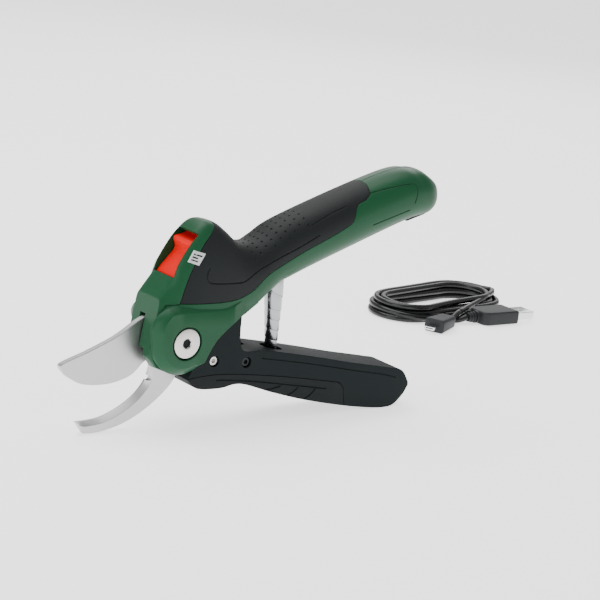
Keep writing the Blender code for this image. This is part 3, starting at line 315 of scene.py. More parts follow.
# mesh helpers
def prism(outline, low, high):
    # a side-view outline made solid between two values of Y
    bm = bmesh.new()
    face = bm.faces.new([bm.verts.new((p[0], low, p[1])) for p in outline])
    grown = bmesh.ops.extrude_face_region(bm, geom=[face])
    moved = [v for v in grown["geom"] if isinstance(v, bmesh.types.BMVert)]
    bmesh.ops.translate(bm, vec=(0, high - low, 0), verts=moved)
    bmesh.ops.recalc_face_normals(bm, faces=bm.faces)
    return bm


def rounded(bm, width, segments=3, only=None):
    edges = [e for e in bm.edges if only is None or only(e)]
    bmesh.ops.bevel(bm, geom=edges, offset=width, affect="EDGES", segments=segments, profile=0.5, material=-1,
                    clamp_overlap=True)
    return bm


def rimEdge(edge):
    return abs(edge.verts[0].co.y - edge.verts[1].co.y) < 0.001


def box(size, centre=(0, 0, 0)):
    bm = bmesh.new()
    bmesh.ops.create_cube(bm, size=1.0)
    bmesh.ops.scale(bm, vec=size, verts=bm.verts)
    bmesh.ops.translate(bm, vec=centre, verts=bm.verts)
    return bm


def turned(profile, steps=48):
    bm = bmesh.new()
    verts = [bm.verts.new((r, 0, h)) for r, h in profile]
    edges = [bm.edges.new(pair) for pair in zip(verts, verts[1:])]
    if profile[0][0] > 0:
        edges.append(bm.edges.new((verts[-1], verts[0])))
    bmesh.ops.spin(bm, geom=verts + edges, cent=(0, 0, 0), axis=(0, 0, 1), angle=2 * pi, steps=steps,
                   use_merge=True)
    bmesh.ops.remove_doubles(bm, verts=bm.verts, dist=0.0001)
    bmesh.ops.recalc_face_normals(bm, faces=bm.faces)
    return bm


def disc(radius, low, high, steps=48):
    return turned([(0, low), (radius, low), (radius, high), (0, high)], steps)


def arc(centre, radius, start, end, steps):
    turns = [radians(start + (end - start) * i / steps) for i in range(steps + 1)]
    return [(centre[0] + radius * cos(t), centre[1] + radius * sin(t)) for t in turns]


def moved(bm, matrix):
    bmesh.ops.transform(bm, matrix=matrix, verts=bm.verts)
    return bm


def sweep(points, radius, sides=3):
    # a round bar along points, as a mesh
    obj = curveTube("bar", points, radius, sides)
    bpy.context.view_layer.update()
    mesh = bpy.data.meshes.new_from_object(obj.evaluated_get(bpy.context.evaluated_depsgraph_get()))
    bpy.data.objects.remove(obj)
    bm = bmesh.new()
    bm.from_mesh(mesh)
    bpy.data.meshes.remove(mesh)
    bmesh.ops.remove_doubles(bm, verts=bm.verts, dist=0.0001)
    bmesh.ops.recalc_face_normals(bm, faces=bm.faces)
    return bm


def carve(bm, steps):
    # Boolean steps, each an operation and a closed bmesh, worked out in millimetres
    base = newObject("base", bm)
    tools = []
    for operation, cutter in steps:
        tool = newObject("cutter", cutter)
        step = base.modifiers.new("step", "BOOLEAN")
        step.operation = operation
        step.solver = "EXACT"
        step.object = tool
        tools.append(tool)
    bpy.context.view_layer.update()
    mesh = bpy.data.meshes.new_from_object(base.evaluated_get(bpy.context.evaluated_depsgraph_get()))
    result = bmesh.new()
    result.from_mesh(mesh)
    bpy.data.meshes.remove(mesh)
    for obj in [base] + tools:
        bpy.data.objects.remove(obj)
    bmesh.ops.dissolve_degenerate(result, dist=0.002, edges=result.edges)
    return result


def addPiece(name, bm, look, body, replaced=(), place=toolPlace, sharp=32):
    moved(bm, place)
    obj = newObject(name, bm)
    obj.data.materials.append(finish(look))
    obj.data.shade_smooth()
    obj.data.set_sharp_from_angle(angle=radians(sharp))
    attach(obj, body)
    if replaced:
        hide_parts(*replaced)
    return obj


# plugs
def plugPlace(plug):
    return Matrix.Translation(plug["back"]) @ Matrix.Rotation(plug["turn"], 4, "Z") @ milli


def addPlugA():
    length, width, height = [s * 1000 for s in plugA["size"]]
    place = plugPlace(plugA)
    grip = box((length - 2.5, width, height), ((length + 2.5) / 2, 0, 0))
    upright = [e for e in grip.edges if abs(e.verts[0].co.z - e.verts[1].co.z) > 1]
    bmesh.ops.bevel(grip, geom=[e for e in upright if e.verts[0].co.x < 5], offset=4.5, affect="EDGES", segments=8,
                    profile=0.5, material=-1)
    rounded(grip, 1.0, 4, lambda e: abs(e.verts[0].co.z - e.verts[1].co.z) < 0.01 and e.is_manifold
            and e.calc_face_angle(0) > 1.0)
    neck = moved(turned([(0, 0.3), (3.7, 0.3), (3.7, 3.2), (0, 3.2)], 32), Matrix.Rotation(pi / 2, 4, "Y"))
    grip = carve(grip, [("UNION", neck)])
    pieces = [addPiece("usb_a_grip", grip, "plugPlastic", "charging_cable", ["usb_a_overmould"], place)]
    rings = [(0, -0.3), (3.3, -0.3), (3.3, -1.3), (2.5, -1.5), (2.5, -2.1), (3.1, -2.3), (3.0, -3.2), (2.3, -3.4),
             (2.3, -3.9), (2.7, -4.1), (2.6, -5.0), (0, -5.0)]
    relief = moved(turned(rings, 32), Matrix.Rotation(pi / 2, 4, "Y"))
    pieces.append(addPiece("usb_a_relief", relief, "plugPlastic", "charging_cable",
                           ["usb_a_strain_relief"], place))
    sl, sw, sh = [s * 1000 for s in plugA["shell"]]
    front = length + 0.3
    shell = rounded(box((sl, sw, sh), (front + sl / 2, 0, 0)), 0.35, 3, lambda e: abs(
        e.verts[0].co.x - e.verts[1].co.x) > 1)
    steps = [("DIFFERENCE", box((sl, sw - 0.7, 1.9), (front + sl / 2 + 1.0, 0, 0.95)))]
    for y in (-2.5, 2.5):
        for z in (sh / 2, -sh / 2):
            steps.append(("DIFFERENCE", box((2.2, 2.2, 0.6), (front + 6.5, y, z))))
    pieces.append(addPiece("usb_a_connector", carve(shell, steps), "platedSteel", "charging_cable",
                           ["usb_a_shell"], place))
    return pieces


def addPlugB():
    length, width, height = [s * 1000 for s in plugB["size"]]
    place = plugPlace(plugB)
    grip = box((length, width, height), (length / 2, 0, 0))
    for vert in grip.verts:                              # the grip narrows towards the cable
        if vert.co.x < 1:
            vert.co.y *= 0.80
            vert.co.z *= 0.90
    rounded(grip, 1.8, 6, lambda e: abs(e.verts[0].co.x - e.verts[1].co.x) > 1)
    rounded(grip, 0.6, 3, lambda e: e.is_manifold and e.calc_face_angle(0) > 1.0)
    pieces = [addPiece("micro_usb_grip", grip, "plugPlastic", "charging_cable",
                       ["micro_usb_overmould"], place)]
    rings = [(0, -0.3), (3.0, -0.3), (2.9, -1.5), (2.3, -1.7), (2.3, -2.3), (2.75, -2.5), (2.6, -3.6), (2.1, -3.8),
             (2.1, -4.4), (2.45, -4.6), (2.3, -6.5), (0, -6.5)]
    relief = moved(turned(rings, 32), Matrix.Rotation(pi / 2, 4, "Y"))
    pieces.append(addPiece("micro_usb_relief", relief, "plugPlastic", "charging_cable",
                           ["micro_usb_strain_relief"], place))
    sl, sw, sh = [s * 1000 for s in plugB["shell"]]
    front = length + 0.3
    shell = box((sl, sw, sh), (front + sl / 2, 0, -0.6))
    for vert in shell.verts:
        if vert.co.z < -1:
            vert.co.y *= 0.80
    rounded(shell, 0.25, 2, lambda e: abs(e.verts[0].co.x - e.verts[1].co.x) > 1)
    steps = [("DIFFERENCE", box((sl, sw - 2.2, 0.75), (front + sl / 2 + 1.0, 0, -0.45)))]
    pieces.append(addPiece("micro_usb_connector", carve(shell, steps), "platedSteel", "charging_cable",
                           ["micro_usb_shell"], place))
    return pieces


plugPieces = addPlugA() + addPlugB()
print("plugs")

# form of head and handle
gap = 0.3
wide = 40.0
skin = 1.8
handle = {"length": 98.0, "halfWidth": 14.5, "neck": 46.0, "halfDepth": 13.9, "axisHeight": 16.0}
head = {"halfWidth": 17.0, "noseHalfWidth": 9.6, "cheekRadius": 16.4, "cheekInner": 11.0, "bayHalfWidth": 12.0}
rear = handle["neck"] + handle["length"]
along = Vector((cos(handlePitch), 0, sin(handlePitch)))
above = Vector((-sin(handlePitch), 0, cos(handlePitch)))
driveAxis = Matrix((
    (above.x, 0, along.x, above.x * handle["axisHeight"]),
    (0, -1, 0, 0),
    (above.z, 0, along.z, above.z * handle["axisHeight"]),
    (0, 0, 0, 1)))
across = Matrix.Rotation(pi / 2, 4, "X")                 # local Z to -Y


def station(top, bottom, widths, powers):
    return {"top": Vector((top[0], 0, top[1])), "bottom": Vector((bottom[0], 0, bottom[1])), "w": widths, "n": powers}


def handleStation(x, topRoom, bottomRoom, halfWidth, power=2.3):
    centre = (along * ((x + handle["axisHeight"] * sin(handlePitch)) / cos(handlePitch))
              + above * handle["axisHeight"])
    top = centre + above * (handle["halfDepth"] + topRoom)
    bottom = centre - above * (handle["halfDepth"] + bottomRoom)
    return station((top.x, top.z), (bottom.x, bottom.z), (halfWidth, halfWidth), (power, power))


def rearStation(back, top, bottom, halfWidth, power=2.4):
    foot = along * (rear / cos(handlePitch) + back) + above * handle["axisHeight"]
    high = foot + above * (top * handle["halfDepth"])
    low = foot - above * (bottom * handle["halfDepth"])
    return station((high.x, high.z), (low.x, low.z), (halfWidth, halfWidth), (power, power))


w = head["halfWidth"] - 0.2
h = handle["halfWidth"]
nose = [
    station((-9.7, 22.2), (-17.4, -5.0), (head["noseHalfWidth"], head["noseHalfWidth"]), (9, 9)),
    station((-5.7, 26.3), (-14.0, -11.0), (head["noseHalfWidth"], 13.5), (9, 7)),
    station((-1.5, 30.5), (-9.0, -14.0), (9.5, w), (9, 6)),
    station((0.9, 36.4), (-4.0, -15.2), (9.8, w), (7, 6)),
]
rest = [
    station((5.4, 42.4), (0.0, -15.6), (10.2, w), (6, 6)),
    station((11.0, 48.6), (4.5, -14.8), (10.6, w), (5, 6)),
    station((18.0, 53.3), (10.0, -11.0), (11.0, w), (4, 6)),
    station((25.4, 51.6), (16.5, -5.6), (11.6, w), (3.2, 5)),
    station((31.5, 46.4), (24.0, -0.6), (12.4, w - 0.3), (2.8, 4.5)),
    station((38.0, 40.0), (33.0, 2.6), (13.2, w - 0.9), (2.5, 3.6)),
    station((46.0, 37.9), (43.5, 5.8), (14.0, h + 0.6), (2.3, 2.8)),
    handleStation(handle["neck"] + 0.10 * handle["length"], -1.9, 0.5, h, 2.4),
    handleStation(handle["neck"] + 0.19 * handle["length"], 0.4, 0.1, h),
    handleStation(handle["neck"] + 0.33 * handle["length"], 1.0, -0.3, h),
    handleStation(handle["neck"] + 0.60 * handle["length"], 0.9, -0.5, h),
    handleStation(handle["neck"] + 0.85 * handle["length"], 0.1, -0.5, h),
    rearStation(1.0, 0.90, 0.99, h - 0.1),
    rearStation(7.0, 0.75, 1.08, h - 0.8),
    rearStation(11.5, 0.61, 1.08, h - 1.8),
    rearStation(15.4, 0.32, 0.97, h - 4.2),
    rearStation(19.0, 0.0, 0.70, h - 8.0),
    rearStation(20.3, -0.18, 0.50, h - 11.0),
]
ringHalf = 36                                            # points on one side of a section
taper = 2.2


def ringOf(one, inset):
    middle = (one["top"] + one["bottom"]) / 2
    half = (one["top"] - one["bottom"]) / 2
    ring = []
    for i in range(2 * ringHalf):
        turn = pi * i / ringHalf
        high, side = cos(turn), sin(turn)
        power = 2 / (one["n"][0] if high > 0 else one["n"][1])
        up = abs(high) ** power * (1 if high > 0 else -1)
        out = abs(side) ** power * (1 if side > 0 else -1)
        width = one["w"][1] + (one["w"][0] - one["w"][1]) * ((up + 1) / 2) ** taper
        point = middle + half * (up * (half.length - inset) / half.length)
        point.y = out * (width - inset)
        ring.append(point)
    return ring


def blendRings(a, b, c, d, t):
    return [0.5 * (2 * q + (r - p) * t + (2 * p - 5 * q + 4 * r - s) * t * t + (3 * q - p - 3 * r + s) * t ** 3)
            for p, q, r, s in zip(a, b, c, d)]


def bodyRings(inset, between=5):
    first = [ringOf(one, inset) for one in nose]
    known = first[-1:] + [ringOf(one, inset) for one in rest]
    known = [known[0]] + known + [known[-1]]
    rings = first[:-1]
    for i in range(1, len(known) - 2):
        rings += [blendRings(*known[i - 1:i + 3], k / between) for k in range(between)]
    return rings + [known[-2]]


def loft(rings):
    bm = bmesh.new()
    loops = []
    for points in rings:
        verts = [bm.verts.new(p) for p in points]
        loops.append([bm.edges.new((a, b)) for a, b in zip(verts, verts[1:] + verts[:1])])
    for one, two in zip(loops, loops[1:]):
        bmesh.ops.bridge_loops(bm, edges=one + two)
    bmesh.ops.holes_fill(bm, edges=loops[0] + loops[-1], sides=0)
    bmesh.ops.recalc_face_normals(bm, faces=bm.faces)
    return bm


def bodyForm(inset=0.0, side=0):
    # the whole outer form, or one half of it with a flat inner face
    rings = bodyRings(inset)
    if side:
        halves = []
        for ring in rings:
            picked = ring[:ringHalf + 1] if side > 0 else [ring[0]] + ring[:ringHalf - 1:-1]
            picked = [p.copy() for p in picked]
            for p in picked:
                p.y = side * max(gap / 2, side * p.y)
            halves.append(picked)
        rings = halves
    return loft(rings)


def offsetLine(points, distance):
    points = [Vector((p[0], p[1])) for p in points]
    area = sum(a.x * b.y - b.x * a.y for a, b in zip(points, points[1:] + points[:1]))
    sign = 1 if area > 0 else -1
    result = []
    for a, b, c in zip(points[-1:] + points[:-1], points, points[1:] + points[:1]):
        one, two = (b - a).normalized(), (c - b).normalized()
        inward = (Vector((-one.y, one.x)) + Vector((-two.y, two.x))) * sign
        result.append(b + inward * (distance / max(0.5, inward.length_squared / 2)))
    return result


def inwardLine(points, distances):
    # each point of a closed outline moved inwards by its own distance
    points = [Vector((p[0], p[1])) for p in points]
    area = sum(a.x * b.y - b.x * a.y for a, b in zip(points, points[1:] + points[:1]))
    sign = 1 if area > 0 else -1
    result = []
    for a, b, c, distance in zip(points[-1:] + points[:-1], points, points[1:] + points[:1], distances):
        run = ((b - a).normalized() + (c - b).normalized()).normalized()
        result.append(b + Vector((-run.y, run.x)) * sign * distance)
    return result


def layered(outline, sheets):
    # outline drawn at several values of Y, each with an inset for every point
    rings = []
    for y, distances in sheets:
        rings.append([Vector((p.x, y, p.y)) for p in inwardLine(outline, distances)])
    return loft(rings)


def softLine(points, steps=4):
    return [tuple(p) for p in smoothCurve(points, steps)]


gripFront = [(23.6, 51.0), (14.6, 44.6), (8.2, 36.0), (3.2, 28.0), (-1.2, 19.2)]
gripLow = [(9.2, 17.6), (22.9, 15.9), (32.2, 16.0), (40.4, 18.4), (48.6, 23.6), (61.3, 28.2), (73.3, 32.0),
           (85.5, 35.2), (94.1, 37.9), (99.6, 39.9)]
gripEnd = [(100.9, 41.4), (103.6, 46.6), (105.4, 48.2), (110.4, 49.4), (113.4, 51.2), (115.9, 55.2), (120.6, 66.0)]


def gripOutline(inset):
    low = softLine([(-1.2, 19.2)] + gripLow, 3)[1:]
    points = [(23.0, 60.0)] + softLine(gripFront, 3) + low + gripEnd + [(60.0, 75.0)]
    return offsetLine(points, inset)


frontLine = [tuple(p) for p in offsetLine(gripOutline(0.0), -gap)]
frontCount = 3 * (len(gripFront) - 1) + 2
headRegion = [(-wide, -wide), (-7.8, -wide), (-7.8, 19.0)] + frontLine[frontCount - 1::-1] + [(-wide, 75.0)]
pocketSize = {"low": (-1.3, 30.3), "slope": radians(46.0), "length": 23.5, "halfWidth": 8.2, "depth": 6.5,
              "travel": 2.5}
window = Matrix((
    (cos(pocketSize["slope"]), 0, -sin(pocketSize["slope"]), pocketSize["low"][0]),
    (0, 1, 0, 0),
    (sin(pocketSize["slope"]), 0, cos(pocketSize["slope"]), pocketSize["low"][1]),
    (0, 0, 0, 1)))
sliderEnd = pocketSize["length"] + 2.2
bayLine = [(-7.5, -wide), (-7.5, 13.0), (16.0, 13.0), (21.0, 23.6), (37.0, 23.6), (44.0, 16.0), (56.5, 13.4),
           (56.5, -wide)]
mechanismLine = [(-7.5, 12.0), (-7.5, 19.4), (2.0, 21.6), (14.0, 31.0), (20.0, 35.0), (30.0, 36.5), (42.0, 33.0),
                 (42.0, 12.0)]
bladeNear, bladeFar, hookNear = 0.15, 3.15, -4.15


def pocketCutters():
    length, depth, reach = pocketSize["length"], pocketSize["depth"], pocketSize["halfWidth"]
    end = sliderEnd + pocketSize["travel"] + gap
    pocket = moved(prism([(0, -depth), (length, -depth), (length, 12.0), (0, 12.0)], -reach, reach), window)
    crown = moved(prism([(length - 1.0, -depth), (end, -depth), (end, -1.6), (length - 1.0, 0.8)], -reach, reach),
                  window)
    switch = moved(box((8.0, 7.0, 4.4), (11.0, 0, -depth - 3.5)), window)
    return [("DIFFERENCE", pocket), ("DIFFERENCE", crown), ("DIFFERENCE", switch)]


def roomCutters():
    return [("DIFFERENCE", prism(bayLine, -head["bayHalfWidth"], head["bayHalfWidth"])),
            ("DIFFERENCE", prism(mechanismLine, -8.8, 8.8))]


surface = BVHTree.FromBMesh(bodyForm())


def onSurface(x, z, side, sink=0.0):
    hit = surface.ray_cast(Vector((x, side * 60.0, z)), Vector((0, -side, 0)))[0]
    return None if hit is None else hit - Vector((0, side * sink, 0))


def groove(points, side, radius=0.45, sink=0.0, steps=6):
    # a round bar laid into the surface along a side-view line
    line = [onSurface(p[0], p[1], side, sink) for p in softLine(points, steps)]
    return sweep([p for p in line if p], radius, 3)


def addHeadCover():
    slot = [(-wide, -wide), (-8.0, -wide), (-8.0, 13.2), (-wide, 13.2)]
    hookSlot = [(-wide, -wide), (-5.0, -wide), (-5.0, -2.0), (-wide, -2.0)]
    noseRoom = [(-5.0, 19.4), (-8.6, 19.6), (-14.8, -2.5), (-14.6, -7.0), (-11.0, -14.0), (-9.0, -wide),
                (-5.0, -wide)]
    notch = [(-wide, -wide), (4.0, -wide), (4.0, 18.9), (-wide, 18.9)]
    inner = head["cheekInner"] - gap
    steps = [("INTERSECT", prism(headRegion, -wide, wide)),
             ("DIFFERENCE", prism(notch, inner, wide)),
             ("DIFFERENCE", prism(notch, -wide, -inner)),
             ("DIFFERENCE", prism(noseRoom, -7.8, 7.8)),
             ("DIFFERENCE", prism(slot, bladeNear - 0.75, bladeFar + 0.6)),
             ("DIFFERENCE", prism(hookSlot, hookNear - 0.6, 0.2))]
    bm = carve(bodyForm(), steps + roomCutters() + pocketCutters())
    addPiece("green_head_cover", bm, "greenShell", "housing", ["head_cover"])


cheekFront = arc((-4.6, 5.6), 12.2, 118, 170, 16) + [(-head["cheekRadius"], -1.0)]
cheekFoot = arc((0, 0), head["cheekRadius"], -172, -50, 48)
cheekBack = softLine([(10.6, -12.5), (18.0, -3.0), (30.0, 4.6), (36.0, 7.0), (44.0, 10.2)], 5)[1:]
cheekTop = softLine([(44.0, 18.6), (36.0, 16.6), (22.9, 15.7), (9.2, 17.4), (-1.0, 18.8), (-8.0, 18.0)], 5)
cheekLine = cheekFoot + cheekBack + cheekTop + cheekFront
cheekStyle = {  # how far the outline draws in: at the root of the cheek, then at its outer face
    -1: {"foot": (0.0, 4.4), "back": (0.0, 1.2), "end": (0.0, 1.0), "top": (0.0, 3.6), "front": (0.0, 3.6)},
    1: {"foot": (0.6, 4.2), "back": (0.0, 1.2), "end": (0.0, 1.0), "top": (0.4, 1.6), "front": (5.5, 8.0)},
}


def cheekInsets(side, face):
    style = cheekStyle[side]
    values = []
    for i in range(len(cheekFoot)):
        share = min(1.0, i / (len(cheekFoot) - 1) * 1.25)
        tail = max(0.0, (i / (len(cheekFoot) - 1) - 0.8) / 0.2)
        value = style["front"][face] * (1 - share) + style["foot"][face] * share
        values.append(value * (1 - tail) + style["back"][face] * tail)
    for i in range(len(cheekBack)):
        share = (i / (len(cheekBack) - 1)) ** 3
        values.append(style["back"][face] * (1 - share) + style["end"][face] * share)
    for i in range(len(cheekTop)):
        share = min(1.0, i / (len(cheekTop) - 1) * 2.5)
        tail = max(0.0, (i / (len(cheekTop) - 1) - 0.75) / 0.25)
        value = style["end"][face] * (1 - share) + style["top"][face] * share
        values.append(value * (1 - tail) + style["front"][face] * 0.6 * tail)
    count = len(cheekFront)
    values += [style["front"][face] * (0.6 + 0.4 * i / (count - 1)) for i in range(count)]
    return values


def cheekForm(side):
    # the raised cheek: straight walls, then a broad slope to a flat outer face
    root, outer = cheekInsets(side, 0), cheekInsets(side, 1)
    shoulder = [a + (b - a) * 0.08 for a, b in zip(root, outer)]
    sheets = [(side * gap / 2, root), (side * 12.6, root), (side * 13.2, shoulder),
              (side * (head["halfWidth"] - 0.35), [a + (b - a) * 0.93 for a, b in zip(root, outer)]),
              (side * head["halfWidth"], [b + 0.35 for b in outer])]
    slope = (Matrix.Translation((27.0, side * head["halfWidth"], 0))
             @ Matrix.Rotation(radians(-side * 13), 4, "Z"))
    return carve(layered(cheekLine, sheets), [("DIFFERENCE", moved(box((50, 8, 80), (25, side * 4, 0)), slope))])


springPlace = Matrix.Translation((60.2, 0, -22.0)) @ Matrix.Rotation(lean - radians(4), 4, "Y")
drive = {"bore": 9.8, "bearingBack": 31.77, "bearingFront": 27.77, "cellBack": 141.27, "port": 151.58}
portPlace = (driveAxis @ Matrix.Translation((-handle["halfDepth"] * 1.06, 0, drive["port"]))
             @ Matrix.Rotation(radians(-4), 4, "Y"))     # local Z along the handle, X inwards


def crossDisc(radius, centre, low, high, steps=40):
    return moved(disc(radius, -high, -low, steps), Matrix.Translation((centre[0], 0, centre[1])) @ across)


def addShell(side, name, node):
    outside = carve(prism([tuple(p) for p in gripOutline(-gap)], -wide, wide), [("DIFFERENCE", bodyForm(skin + gap))])
    steps = [("DIFFERENCE", prism([tuple(p) for p in offsetLine(headRegion, -gap)], -wide, wide)),
             ("UNION", cheekForm(side)), ("DIFFERENCE", outside),
             ("DIFFERENCE", prism([(-wide, -wide), (-7.5, -wide), (-7.5, 22.0), (-wide, 22.0)],
                                  -head["cheekInner"], head["cheekInner"]))]
    steps += roomCutters()
    bore = disc(drive["bore"] + 0.6, drive["bearingBack"] + 1, drive["cellBack"] + 1)
    steps += [("DIFFERENCE", moved(bore, driveAxis)),
              ("DIFFERENCE", moved(box((13.0, 15.0, 14.0), (-2.5, 0, drive["cellBack"] + 6.0)), driveAxis)),
              ("DIFFERENCE", moved(disc(8.3, drive["bearingFront"] - gap, drive["bearingBack"] + gap), driveAxis))]
    steps += pocketCutters()
    steps.append(("DIFFERENCE", moved(disc(5.7, 28.0, 41.0), springPlace)))
    steps += [("DIFFERENCE", moved(box((5.0, 9.8, 12.6), (-0.2, 0, 0)), portPlace)),
              ("DIFFERENCE", moved(box((12.0, 8.4, 3.6), (5.0, 0, 0)), portPlace))]
    seat = head["halfWidth"] - 2.3 if side < 0 else 13.4
    steps += [("DIFFERENCE", crossDisc(4.3, (0, 0), *sorted((0, side * wide)))),
              ("DIFFERENCE", crossDisc(8.2, (0, 0), *sorted((side * seat, side * wide))))]
    if side < 0:
        steps.append(("DIFFERENCE", crossDisc(1.9, (11.0, 5.4), -14.3, 0)))
    panel = [(110.9, 51.4), (125.0, 52.6), (138.6, 52.9), (141.2, 51.4), (141.0, 47.8), (139.2, 43.0)]
    ledge = [(113.0, 36.6), (124.0, 38.2), (136.5, 40.0)]
    steps += [("DIFFERENCE", groove(panel, side, 0.42)), ("DIFFERENCE", groove(ledge, side, 0.36))]
    bm = carve(bodyForm(0.0, side), steps)
    addPiece(name, bm, "greenShell", "housing", [node])


def dimples():
    bm = bmesh.new()
    for row in range(13):
        s = handle["neck"] + 2.0 + row * 4.1
        for column in range(-6, 7):
            turn = radians((column + 0.5 * (row % 2)) * 15.5)
            if abs(turn) > radians(86):
                continue
            foot = along * (s / cos(handlePitch)) + above * handle["axisHeight"]
            out = above * cos(turn) + Vector((0, sin(turn), 0))
            hit = surface.ray_cast(foot + out * 40, -out)[0]
            low = 27.5 + 0.34 * max(0.0, hit.x - 38.0)
            if hit.x > 76 or (abs(hit.y) > 9 and hit.z < low + 1.5):
                continue
            bmesh.ops.create_icosphere(bm, subdivisions=2, radius=0.62, matrix=Matrix.Translation(hit + out * 0.15))
    return bm


def addGrip():
    steps = [("INTERSECT", prism([tuple(p) for p in gripOutline(0.0)], -wide, wide)),
             ("DIFFERENCE", bodyForm(skin)), pocketCutters()[1]]
    field = [(15.4, 33.5), (13.6, 30.2), (14.3, 27.2), (17.6, 25.8), (28.8, 23.8), (34.6, 23.4), (39.3, 25.2),
             (43.9, 27.0), (55.8, 30.7), (68.9, 34.2), (80.0, 37.6)]
    ridge = [(75.0, 41.8), (83.0, 44.2), (91.0, 46.4), (99.0, 47.9)]
    for side in (-1, 1):
        steps += [("DIFFERENCE", groove(field, side, 0.40)), ("DIFFERENCE", groove(ridge, side, 0.28))]
    steps.append(("DIFFERENCE", dimples()))
    bm = carve(bodyForm(), steps)
    addPiece("soft_grip", bm, "softGrip", "housing", ["grip_overmould"])


addHeadCover()
addShell(-1, "green_left_shell", "left_shell")
addShell(1, "green_right_shell", "right_shell")
addGrip()
print("housing and grip")

# bolt, nut and label on the head
boltHead = {"radius": 7.2, "socketAcross": 4.2, "bore": 4.0}


def addPivotBolt():
    half, radius, bore = head["halfWidth"], boltHead["radius"], boltHead["bore"]
    profile = [(0, -14.6), (bore - 0.5, -14.6), (bore, -14.1), (bore, 15.0), (radius, 15.0), (radius, half - 0.45),
               (radius - 0.12, half - 0.15), (radius - 0.45, half), (0, half)]
    socket = boltHead["socketAcross"] / 2 / cos(pi / 6)
    steps = [("DIFFERENCE", moved(disc(socket, half - 2.5, half + 2, 6), Matrix.Rotation(radians(12), 4, "Z"))),
             ("DIFFERENCE", turned([(0, half - 0.5), (socket - 0.25, half - 0.5), (socket + 0.6, half + 0.35),
                                    (0, half + 0.35)], 40))]
    bm = moved(carve(turned(profile, 72), steps), across)
    addPiece("pivot_bolt_head", bm, "boltSteel", "housing", ["pivot_bolt"], sharp=25)
    floorDisc = moved(disc(socket - 0.02, half - 2.4, half - 1.1, 6), Matrix.Rotation(radians(12), 4, "Z"))
    addPiece("socket_shadow", moved(floorDisc, across), "insertRubber", "housing", sharp=25)
    low, high = -half + 0.2, -13.7
    nut = turned([(bore + gap, low), (radius - 0.5, low), (radius, low + 0.5), (radius, high), (bore + gap, high)], 6)
    nut = carve(nut, [("INTERSECT", turned([(0, low - 0.1), (6.1, low - 0.1), (7.3, low + 1.1), (7.3, high + 0.1),
                                            (0, high + 0.1)], 48))])
    addPiece("pivot_lock_nut", moved(nut, across), "boltSteel", "housing", ["pivot_nut"], sharp=20)


label = {"corners": ((8.9, 42.6), (14.1, 40.4), (9.9, 35.5), (5.1, 37.7)), "thickness": 0.18}


def surfacePlate(corners, side, lift, thickness, cells=8):
    # a thin plate that follows the outer form inside four side-view corners
    bm = bmesh.new()
    bmesh.ops.create_grid(bm, x_segments=cells, y_segments=cells, size=0.5)
    a, b, c, d = [Vector(p) for p in corners]
    for vert in bm.verts:
        u, v = vert.co.x + 0.5, vert.co.y + 0.5
        flat = (a * (1 - u) + b * u) * v + (d * (1 - u) + c * u) * (1 - v)
        vert.co = onSurface(flat.x, flat.y, side, -lift)
    grown = bmesh.ops.extrude_face_region(bm, geom=bm.faces[:])
    back = [g for g in grown["geom"] if isinstance(g, bmesh.types.BMVert)]
    bmesh.ops.translate(bm, vec=(0, -side * thickness, 0), verts=back)
    bmesh.ops.recalc_face_normals(bm, faces=bm.faces)
    return bm


def addLabel():
    plate = surfacePlate(label["corners"], -1, 0.12, label["thickness"])
    addPiece("blank_label", plate, "labelSilver", "housing", sharp=60)
    a, b, c, d = [Vector(p) for p in label["corners"]]
    bars = bmesh.new()
    for start, end, low, high in ((0.14, 0.86, 0.66, 0.78), (0.14, 0.60, 0.42, 0.54), (0.14, 0.74, 0.20, 0.30)):
        corners = [(a * (1 - u) + b * u) * v + (d * (1 - u) + c * u) * (1 - v)
                   for u, v in ((start, high), (end, high), (end, low), (start, low))]
        bar = surfacePlate(corners, -1, 0.16, 0.12, 2)
        mesh = bpy.data.meshes.new("bar")
        bar.to_mesh(mesh)
        bars.from_mesh(mesh)
        bpy.data.meshes.remove(mesh)
    addPiece("label_marks", bars, "insertRubber", "housing", sharp=60)


addPivotBolt()
addLabel()

# lock slider
sliderLine = softLine([(0.4, -0.9), (5.0, -1.1), (10.0, -1.7), (13.2, -2.0), (15.0, -1.5), (16.2, 0.0), (17.0, 1.5),
                       (17.9, 2.1), (18.8, 2.1), (19.8, 1.3), (21.4, -0.3), (23.4, -1.9)], 4)


def addSlider():
    low = gap - pocketSize["depth"]
    outline = sliderLine + [(sliderEnd, -2.4), (sliderEnd, low), (0.4, low)]
    reach = pocketSize["halfWidth"] - gap
    bm = prism(outline, -reach, reach)
    rounded(bm, 0.55, 4, lambda e: rimEdge(e) and min(v.co.z for v in e.verts) > -2.6)
    addPiece("lock_button", moved(bm, window), "redSlider", "lock_slider", ["lock_slider"])


addSlider()
print("bolt, label and slider")


# blades
bladeSet = {"grind": 5.2, "hookThickness": 4.0, "hookBevel": 1.9, "hub": 9.65, "pinBoss": 3.5,
            "pinLag": 23.75}
upperEdge = softLine([(-14.5, -11.5), (-21.4, -16.1), (-33.6, -17.4), (-47.7, -14.3), (-57.1, -7.6)], 10)
upperSpine = softLine([(-58.6, -4.6), (-57.6, -2.0), (-43.7, 0.8), (-28.3, 4.8), (-16.0, 10.2), (-8.0, 12.4)], 8)
hookOuter = softLine([(-50.3, -37.1), (-41.2, -38.4), (-27.9, -37.2), (-14.3, -32.3), (-1.7, -24.2), (6.0, -14.0)], 8)
hookInner = softLine([(-9.0, 3.0), (-12.0, -15.0), (-18.0, -23.6), (-27.7, -29.2), (-39.9, -32.3),
                      (-53.0, -31.4)], 10)
pinTurn = handlePitch + pi / 2 - radians(bladeSet["pinLag"])
pinPlace = (handle["axisHeight"] * cos(pinTurn), handle["axisHeight"] * sin(pinTurn))
